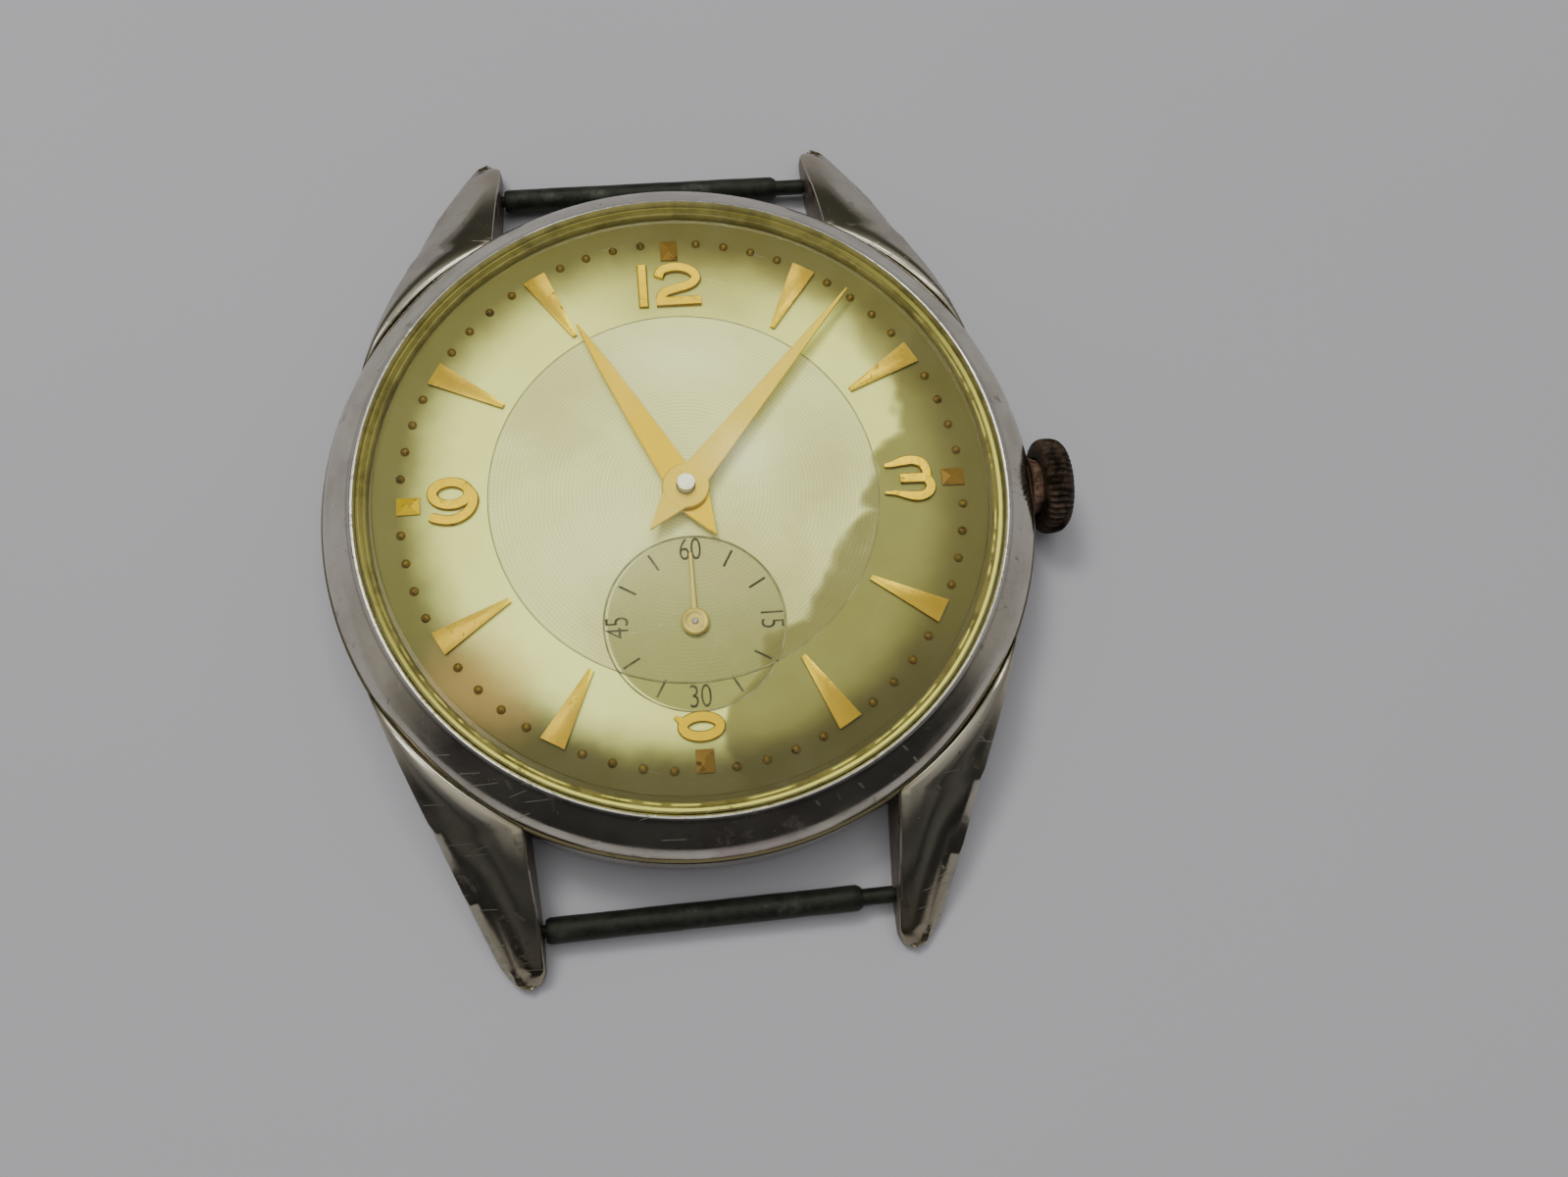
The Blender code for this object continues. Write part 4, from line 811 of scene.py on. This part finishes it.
def make_case():
    chrome = chrome_look("worn_plating")
    band = [(17.2, 6.02), (17.2, 4.47), (CASE_R, 4.47), (CASE_R, 1.7), (CASE_R - 0.35, 0.95), (17.45, 0.42)]
    band += [(16.0, 0.42), (16.0, 1.0), (15.2, 1.0), (15.2, 5.64), (16.36, 5.64), (16.36, 6.02), (17.2, 6.02)]
    ring = rounded(band, 0.12, 3)[1:-1]
    case = turned("case_band", ring, chrome, closed=True, smooth=30)
    ride(case, "case", "case_metal", "case_middle")
    # Dark brown for the lugs' inner sides and the ledge under the bezel: grime, and painted shade where they run
    # under the bezel and against the case.
    grime_and_shade = corroded_look("grimy_and_shaded_inner_sides", (0.075, 0.055, 0.04), (0.24, 0.19, 0.14), 0.8)
    make_lugs(chrome, flank_look(), grime_and_shade)

    bezel_chrome = chrome_look("worn_bezel_plating", lip=True)
    corners = [(LIP_R, 6.12), (LIP_R, LIP_TOP - 0.03), (LIP_R + 0.2, LIP_TOP - 0.01)]
    corners += [(LIP_R + 0.3, LIP_TOP - 0.12), (17.5, 6.22), (17.9, 5.86), (18.28, 5.50)]
    corners += [(18.52, 5.22), (18.66, 4.98)]
    corners += [(BEZEL_R, BEZEL_LOW + 0.34), (BEZEL_R, BEZEL_LOW)]
    corners += [(17.25, BEZEL_LOW), (17.25, 6.1), (LIP_R, 6.1)]
    bezel = turned("bezel_ring", rounded(corners, 0.14, 4), bezel_chrome, closed=True, smooth=28)
    ride(bezel, "case", "case_metal", "bezel")

    def dome(apex, edge_r, edge_z, count=26):
        rise = apex - edge_z
        ball = (edge_r**2 + rise**2) / (2 * rise)
        reaches = [edge_r * k / count for k in range(count + 1)]
        return [(reach, apex - ball + sqrt(ball**2 - reach**2)) for reach in reaches]

    shell = dome(CRYSTAL_APEX, CRYSTAL_R - 0.14, 7.18)
    shell += [(CRYSTAL_R - 0.03, 7.08), (CRYSTAL_R, 6.95), (CRYSTAL_R, CRYSTAL_LOW)]
    shell += [(15.87, CRYSTAL_LOW), (15.87, 6.8)] + list(reversed(dome(8.6, 15.8, 6.95)))
    crystal = turned("crystal_dome", shell, [acrylic_look(), clear_look()], steps=160, smooth=40)
    for face in crystal.data.polygons:
        face.material_index = int(face.normal.z < 0 and face.center.z / MM > 6.3)
    ride(crystal, "case", "acrylic", "crystal")
    edge = [(16.12, 6.16), (16.18, 6.36), (16.26, 6.44), (16.36, 6.36), (16.44, 6.42)]
    edge += [(16.52, 6.58), (16.62, 6.5), (16.71, 6.44), (16.71, 6.16)]
    ring = turned("crystal_edge", edge, edge_look(), closed=True, smooth=50)
    ride(ring, "case", "acrylic")

    back = [(0, 0.5), (15.0, 0.5), (15.0, 0.95), (15.95, 0.95), (15.95, 0.36), (17.3, 0.36), (17.3, 0.18)]
    back += [(17.0, 0.0), (14.6, 0.0), (14.45, 0.05), (14.3, 0.0), (0, 0.0)]
    brushed = steel_look("brushed_back", (0.55, 0.54, 0.52), 0.28, 20)
    plate = turned("case_back_plate", rounded(back, 0.06, 2), brushed, smooth=30)
    ride(plate, "case", "steel", "case_back")


def make_crown():
    """A knurled crown on its corroded tube."""
    knurls, depth = 46, 0.16
    profile = [(0, CROWN_OUT), (1.7, CROWN_OUT - 0.05), (2.3, CROWN_OUT - 0.22), (2.56, CROWN_OUT - 0.5)]
    profile += [(CROWN_R, CROWN_OUT - 0.85), (CROWN_R, 19.95), (2.5, 19.68), (2.1, 19.55), (1.62, 19.55)]
    profile += [(1.62, 20.3), (0.95, 20.3), (0.95, 18.7), (0.5, 18.7), (0.5, 20.6), (0, 20.6)]

    def knurled(r, z, a):
        if r < 2.2:
            return r
        return r - depth * (r / CROWN_R) ** 6 * (0.5 - 0.5 * cos(knurls * a)) ** 0.7

    look = corroded_look("corroded_crown", (0.010, 0.007, 0.004), (0.060, 0.038, 0.024))
    crown = turned("crown_head", rounded(profile, 0.1, 2), look, at=on_crown_axis(), steps=knurls * 6,
                   radius_of=knurled, smooth=50)
    ride(crown, "crown", "crown_metal", "crown")
    tube = [(1.5, 20.1), (1.52, 19.5), (1.75, 18.98), (1.08, 18.96), (1.08, 15.4), (1.0, 15.4), (1.0, 20.1)]
    look = corroded_look("corroded_tube", (0.07, 0.04, 0.025), (0.24, 0.15, 0.10), 0.5)
    made = turned("crown_tube", tube, look, closed=True, steps=64, at=on_crown_axis())
    ride(made, "case", "tube_metal", "case_tube")


def make_bars():
    """Spring bars: crimped tubes with their tips, dark with age."""
    look = oxide_look()
    for bar, side in (("bar_12", 1), ("bar_6", -1)):
        at = Matrix.Translation((0, side * BAR_Y, BAR_Z)) @ Matrix.Rotation(pi / 2, 4, "Y")

        def dented(r, z, a, phase=side):
            waves = 0.009 * (1 + sin(1.3 * z + phase + 2 * a)) + 0.006 * (1 + cos(3.1 * z + a))
            return r * (1 - waves)

        low, high = -8.85, 7.3
        count = 60
        tube = [(0.47, high)] + [(BAR_R - 0.14, high), (BAR_R, high - 0.25)]
        tube += [(BAR_R, high - 0.25 + (low + 0.45 - high) * k / count) for k in range(1, count + 1)]
        tube += [(BAR_R - 0.1, low), (0.37, low), (0.37, low + 0.25), (0.54, low + 0.25)]
        tube += [(0.54, high - 0.3), (0.47, high - 0.3)]
        sleeve = turned(bar + "_sleeve", tube, look, closed=True, steps=40, at=at, radius_of=dented)
        ride(sleeve, bar, "oxide", bar + "_tube")
        left = [(0, -7.4), (0.51, -7.4), (0.51, -8.55), (0.33, -8.55), (0.33, -9.82), (0.28, -9.9), (0, -9.9)]
        right = [(0, 9.9), (0.28, 9.9), (0.33, 9.82), (0.33, 8.95), (0.44, 8.95), (0.44, 6.95)]
        right += [(0.51, 6.95), (0.51, 5.6), (0, 5.6)]
        for end, profile in (("left", left), ("right", right)):
            tip = turned(f"{bar}_{end}_tip", profile, look, steps=32, at=at)
            ride(tip, f"{bar}_{end}", "oxide", f"{bar}_tip_{end}")


# ---------------------------------------------------------------- dial
def dial_frame(angle=0.0):
    """The dial's own frame, which is turned a little against the case."""
    return turned_by(DIAL_TURN + angle)


def sub_dial_frame():
    return dial_frame() @ Matrix.Translation((0, SUB_Y, 0))


def clock(minutes, radius):
    """A point on the dial at a minute mark."""
    return around(radius, 90 - 6 * minutes)


def make_dial():
    face = dial_look()
    work = bmesh.new()
    under = 5.72
    ring = [(0.8, under), (0.8, DIAL_TOP), (DIAL_R - 0.05, DIAL_TOP), (DIAL_R, DIAL_TOP - 0.05)]
    ring += [(DIAL_R, under)]
    revolve(work, ring, 128, closed=True)
    disc = piece("dial_disc", work, face, 0, dial_frame())
    pocket = [(0, 7.0), (SUB_R, 7.0), (SUB_R, DIAL_TOP - 0.06), (0, DIAL_TOP - 0.06)]
    cutter = turned("sub_dial_cutter", pocket, face, steps=96, at=sub_dial_frame())
    boolean = disc.modifiers.new("recess", "BOOLEAN")
    boolean.object, boolean.operation = cutter, "DIFFERENCE"
    bpy.context.view_layer.update()
    recessed = bpy.data.meshes.new_from_object(disc.evaluated_get(bpy.context.evaluated_depsgraph_get()))
    recessed.set_sharp_from_angle(angle=radians(30))
    disc.modifiers.clear()
    disc.data = recessed
    bpy.data.objects.remove(cutter)
    ride(disc, "case", "dial_paint", "dial")

    gold = gold_look("applied_gilt", (1.0, 0.68, 0.0), (0.45, 0.28, 0.02), 0.02)
    aged = gold_look("browned_gilt", (0.36, 0.22, 0.04), (0.11, 0.06, 0.012), 0.08, 0.34)
    # The wedges dull towards the rim: painted shade of the bezel and the crystal's edge, along with dirt.
    ends = ((0.62, 0.42, 0.04), 12.2, 14.6)
    painted_light_and_wear = gold_look("wedge_gilt", (1.0, 0.73, 0.03), (0.34, 0.21, 0.02), 0.02, ends=ends)
    base = DIAL_TOP - 0.02
    for hour in range(12):
        work = bmesh.new()
        if hour % 3:
            near, far, top = 10.6, 14.7, DIAL_TOP + 0.26
            ridge = [(near + 0.12, top - 0.03), (far - 0.3, top)]
            roofed(work, near, far, (0.13, 0.66), base, top - 0.07, ridge)
            name, metal = f"wedge_{hour}", painted_light_and_wear
        else:
            near, far, half, top = 13.55, 14.72, 0.46, DIAL_TOP + 0.24
            roofed(work, near, far, (half, half), base, base + 0.12, [(near + half, top), (far - half, top)])
            name, metal = f"square_{hour or 12}", gold if hour == 9 else aged
        ride(piece(name, work, [metal, aged], 20, dial_frame(90 - 30 * hour)), "case", "hand_gilt")
    make_numerals(gold, aged, base)
    make_dots()
    make_printing()


def roofed(work, near, far, halves, low, eaves, ridge):
    """A block under a hipped roof. Its upright sides take the second material."""
    corners = [(near, -halves[0]), (far, -halves[1]), (far, halves[1]), (near, halves[0])]
    foot = [work.verts.new((x, y, low)) for x, y in corners]
    rim = [work.verts.new((x, y, eaves)) for x, y in corners]
    first, last = [work.verts.new((x, 0, z)) for x, z in ridge]
    work.faces.new(list(reversed(foot)))
    for i in range(4):
        j = (i + 1) % 4
        work.faces.new((foot[i], foot[j], rim[j], rim[i])).material_index = 1
    for face in ((rim[0], rim[1], last, first), (rim[1], rim[2], last),
                 (rim[2], rim[3], first, last), (rim[3], rim[0], first)):
        work.faces.new(face)


def ellipse(cx, cy, rx, ry, count=32):
    turns = [2 * pi * i / count for i in range(count)]
    return [(cx + rx * cos(a), cy + ry * sin(a)) for a in turns]


def make_numerals(gold, outline_gold, base):
    """Applied 12, 3, 6 and 9 in soft strokes."""
    top, width, chamfer = DIAL_TOP + 0.2, 0.56, 0.055

    def numeral(name, strokes, slabs=()):
        work = bmesh.new()
        for step, (path, closed, ends) in enumerate(strokes):
            stroke(work, path, width, base, top + 0.008 * step, chamfer, closed, ends)
        for outline in slabs:
            slab(work, outline, base, top + 0.004, chamfer, 1)
        ride(piece(name, work, [gold, outline_gold], 20, dial_frame()), "case", "hand_gilt")

    even = (1.0, 1.0)
    two = flowing([(-0.66, 12.5), (-0.47, 12.88), (0.06, 13.08), (0.66, 13.04), (1.11, 12.84), (1.38, 12.5),
                   (1.26, 12.17), (0.91, 11.95), (0.36, 11.8), (-0.24, 11.62), (-0.50, 11.4),
                   (-0.60, 11.1)], 4)
    one = [(-1.79, 10.72), (-1.27, 10.72), (-1.27, 13.27), (-1.79, 13.27)]
    numeral("numeral_12", [(two, False, even), ([(-0.84, 11.0), (1.58, 11.03)], False, even)], [one])

    three = flowing([(10.55, 0.78), (11.0, 0.84), (11.5, 0.98), (12.1, 1.02), (12.55, 0.83),
                     (12.76, 0.43)], 5)
    three += flowing([(12.72, 0.02), (12.90, -0.4), (12.75, -0.8), (12.3, -1.0), (11.7, -0.95), (11.1, -0.8),
                      (10.42, -0.74)], 5)
    numeral("numeral_3", [(three, False, (0.35, 0.25)), ([(11.32, 0.03), (12.7, 0.0)], False, even)])

    nine = ellipse(-12.0, 0.56, 0.92, 0.62)
    tail = flowing([(-11.04, 0.66), (-10.86, 0.3), (-10.92, -0.14), (-11.2, -0.54), (-11.7, -0.82),
                    (-12.2, -0.88), (-12.7, -0.78), (-13.05, -0.66)], 4)
    numeral("numeral_9", [(nine, True, even), (tail, False, (1.0, 0.8))])

    six = ellipse(-0.06, -12.42, 0.92, 0.5)
    numeral("numeral_6", [(six, True, even), ([(-0.78, -12.25), (-1.36, -11.86)], False, (1.0, 0.3))])


def make_dots():
    """A raised dot at each minute between the hours."""
    work = bmesh.new()
    dot_r, rise = 0.24, 0.17
    for minute in range(60):
        if minute % 5 == 0:
            continue
        x, y = clock(minute, DOT_R)
        made = bmesh.ops.create_uvsphere(work, u_segments=16, v_segments=10, radius=dot_r)
        bmesh.ops.scale(work, vec=(1, 1, rise / dot_r), verts=made["verts"])
        bmesh.ops.translate(work, vec=(x, y, DIAL_TOP), verts=made["verts"])
    brown = gold_look("browned_dots", (0.25, 0.17, 0.04), (0.08, 0.05, 0.012), 0.08, 0.26)
    ride(piece("minute_dots", work, brown, 60, dial_frame()), "case", "hand_gilt")


def make_printing():
    """Thin rings, seconds ticks and their figures, a little faded."""
    ink = ink_look("faded_ink", (0.02, 0.02, 0.012), (0.085, 0.085, 0.05))
    line = ink_look("faded_line", (0.12, 0.12, 0.06), (0.26, 0.26, 0.14))
    low, high = DIAL_TOP - 0.02, DIAL_TOP + 0.006
    floor = DIAL_TOP - 0.06
    at = dial_frame()
    outlines = (("disc_outline", DISC_R, 0.06, 0.0), ("sub_dial_outline", SUB_R + 0.04, 0.09, SUB_Y))
    for name, radius, width, y in outlines:
        inside, outside = radius - width / 2, radius + width / 2
        loop = [(outside, high), (outside, low), (inside, low), (inside, high)]
        made = turned(name, loop, line, closed=True, steps=160, at=at @ Matrix.Translation((0, y, 0)))
        ride(made, "case", "dial_paint")
    work = bmesh.new()
    for second in range(0, 60, 5):
        if second % 15:
            angle = 90 - 6 * second
            stroke(work, [around(3.32, angle), around(4.3, angle)], 0.12, floor - 0.02, floor + 0.008, 0.005)
    ride(piece("seconds_ticks", work, ink, 30, sub_dial_frame()), "case", "dial_paint")
    for figure, angle, turn in (("60", 90, 0), ("15", 0, -90), ("30", -90, 0), ("45", 180, 90)):
        figure_mesh(figure, around(3.86, angle), turn, floor + 0.008, ink)


def figure_mesh(figure, centre, turn, height, ink):
    """Two thin printed digits on the sub-dial."""
    text = bpy.data.curves.new("figure_" + figure, "FONT")
    text.body, text.size, text.extrude = figure, 1.72 * MM, 0.01 * MM
    text.align_x = text.align_y = "CENTER"
    text.offset, text.space_character, text.resolution_u = -0.012 * MM, 0.96, 5
    lettered = bpy.data.objects.new("lettered", text)
    bpy.context.scene.collection.objects.link(lettered)
    bpy.context.view_layer.update()
    mesh = bpy.data.meshes.new_from_object(lettered.evaluated_get(bpy.context.evaluated_depsgraph_get()))
    bpy.data.objects.remove(lettered)
    place = Matrix.Translation((centre[0], centre[1] + SUB_Y, height - 0.01)) @ turned_by(turn)
    place = Matrix.Scale(MM, 4) @ dial_frame() @ place @ Matrix.Scale(1 / MM, 4)
    mesh.transform(place @ Matrix.Diagonal((0.72, 1.0, 1.0, 1.0)))
    mesh.materials.clear()
    mesh.materials.append(ink)
    made = bpy.data.objects.new("figure_" + figure, mesh)
    bpy.context.scene.collection.objects.link(made)
    ride(made, "case", "dial_paint")


# ---------------------------------------------------------------- hands
def make_hand(name, node, body, axis, angle, blade, tail, hub_r, hole_r, low, high, look):
    """A flat hand: a long tapered blade and a pointed tail from a round hub.

    The blade is given by (half width, distance) points from its tip inwards, the tail by its base and reach.
    """
    work = bmesh.new()
    inner = hole_r + 0.1
    right = blade + [(blade[-1][0], inner)]
    slab(work, right + [(-x, y) for x, y in reversed(right)], low, high, 0.025)
    if tail:
        half, reach = tail
        slab(work, [(half, -inner), (0.03, -reach), (-0.03, -reach), (-half, -inner)], low, high, 0.02)
    cap = high + 0.012
    ring = [(hole_r, cap), (hub_r - 0.06, cap), (hub_r, high - 0.04), (hub_r, low), (hole_r, low)]
    revolve(work, ring, 64, closed=True)
    ride(piece(name, work, look, 25, turned_by(-angle, *axis)), body, "hand_gilt", node)


def make_hands():
    pale = gold_look("pale_gilt", (0.92, 0.69, 0.08), (0.42, 0.28, 0.06), 0.0, 0.36)
    gilt = gold_look("bright_gilt", (1.0, 0.67, 0.0), (0.62, 0.40, 0.04), -0.03, 0.3)
    brass = gold_look("seconds_gilt", (0.78, 0.64, 0.20), (0.30, 0.22, 0.05), 0.0, 0.3)
    minute = [(0.05, 14.5), (0.2, 11.6), (0.36, 8.5), (0.62, 3.2), (0.74, 1.0)]
    make_hand("minute_blade", "minute_hand", "centre", (0, 0), MINUTE_ANGLE, minute, (0.84, 3.0),
              1.22, 0.5, 6.85, 7.03, pale)
    hour = [(0.05, 10.9), (0.34, 8.2), (0.56, 5.0), (0.78, 1.0)]
    make_hand("hour_blade", "hour_hand", "hour", (0, 0), HOUR_ANGLE, hour, (0.88, 2.95),
              1.25, 0.76, 6.52, 6.71, gilt)
    seconds = [(0.09, 3.62), (0.115, 0.4)]
    make_hand("seconds_blade", "seconds_hand", "fourth", SUB_DIAL, -DIAL_TURN, seconds, None,
              0.66, 0.17, 6.25, 6.34, brass)
    cup = [(0.17, 6.33), (0.34, 6.33), (0.50, 6.39), (0.62, 6.39), (0.72, 6.30), (0.70, 6.24), (0.17, 6.26)]
    made = turned("seconds_cup", cup, brass, closed=True, steps=64, at=turned_by(0, *SUB_DIAL))
    ride(made, "fourth", "hand_gilt")


def dress_frame():
    """Give every node that stays, all of them inside the case, the metal it is made of."""
    looks = {
        "steel": steel_look("grained_steel", (0.56, 0.57, 0.58), 0.26, 35),
        "blued_steel": steel_look("blued_steel", (0.05, 0.08, 0.25), 0.22, 10),
        "brass": steel_look("turned_brass", (0.72, 0.52, 0.22), 0.30, 60),
        "gilt": gilt_plate_look("frosted_gilt", (0.80, 0.58, 0.28)),
        "nickel": gilt_plate_look("frosted_nickel", (0.64, 0.62, 0.57)),
        "oxide": oxide_look(),
    }
    polished = steel_look("polished_pin", (0.90, 0.90, 0.88), 0.3, metal=0.35)
    top = node_box("cannon_pinion")[1][2]
    button = [(0, top + 0.05), (0.22, top + 0.045), (0.36, top + 0.02), (0.40, top - 0.05)]
    button += [(0.40, top - 0.15), (0, top - 0.15)]
    ride(turned("pin_button", button, polished, steps=48), "centre", "steel")
    slots = {part["node"]: part["material_slot"] for part in frame["record"]["subparts"]}
    hidden = {"case_middle", "bezel", "crystal", "case_back", "dial", "crown", "case_tube"}
    for name, node in frame["nodes"].items():
        look = polished if name == "cannon_pinion" else looks.get(slots[name])
        if look is None or name in hidden:
            continue
        for slot in node.material_slots:
            slot.material = look


def make_floor():
    work = bmesh.new()
    bmesh.ops.create_grid(work, x_segments=2, y_segments=2, size=900.0)
    floor = piece("floor", work, floor_look(), 0, Matrix.Translation((0, 0, CASE_LOW)))


make_camera()
make_world()
make_light("key", (-0.26, 0.41, 0.87), 0.35, (0.10, 0.08), 0.94, mirrored=False)
make_light("left_pane", (-0.174, 0.219, 0.960), 0.40, (0.110, 0.075), 0.075)
make_light("right_pane", (0.166, 0.387, 0.908), 0.40, (0.050, 0.050), 0.060)
make_light("far_pane", (0.037, 0.598, 0.800), 0.42, (0.110, 0.045), 0.070)
make_light("overhead", (-0.05, 0.1, 1.0), 0.6, (0.5, 0.5), 3.1, mirrored=False)
make_floor()
dress_frame()
make_case()
make_crown()
make_bars()
make_dial()
make_hands()

bpy.context.view_layer.update()
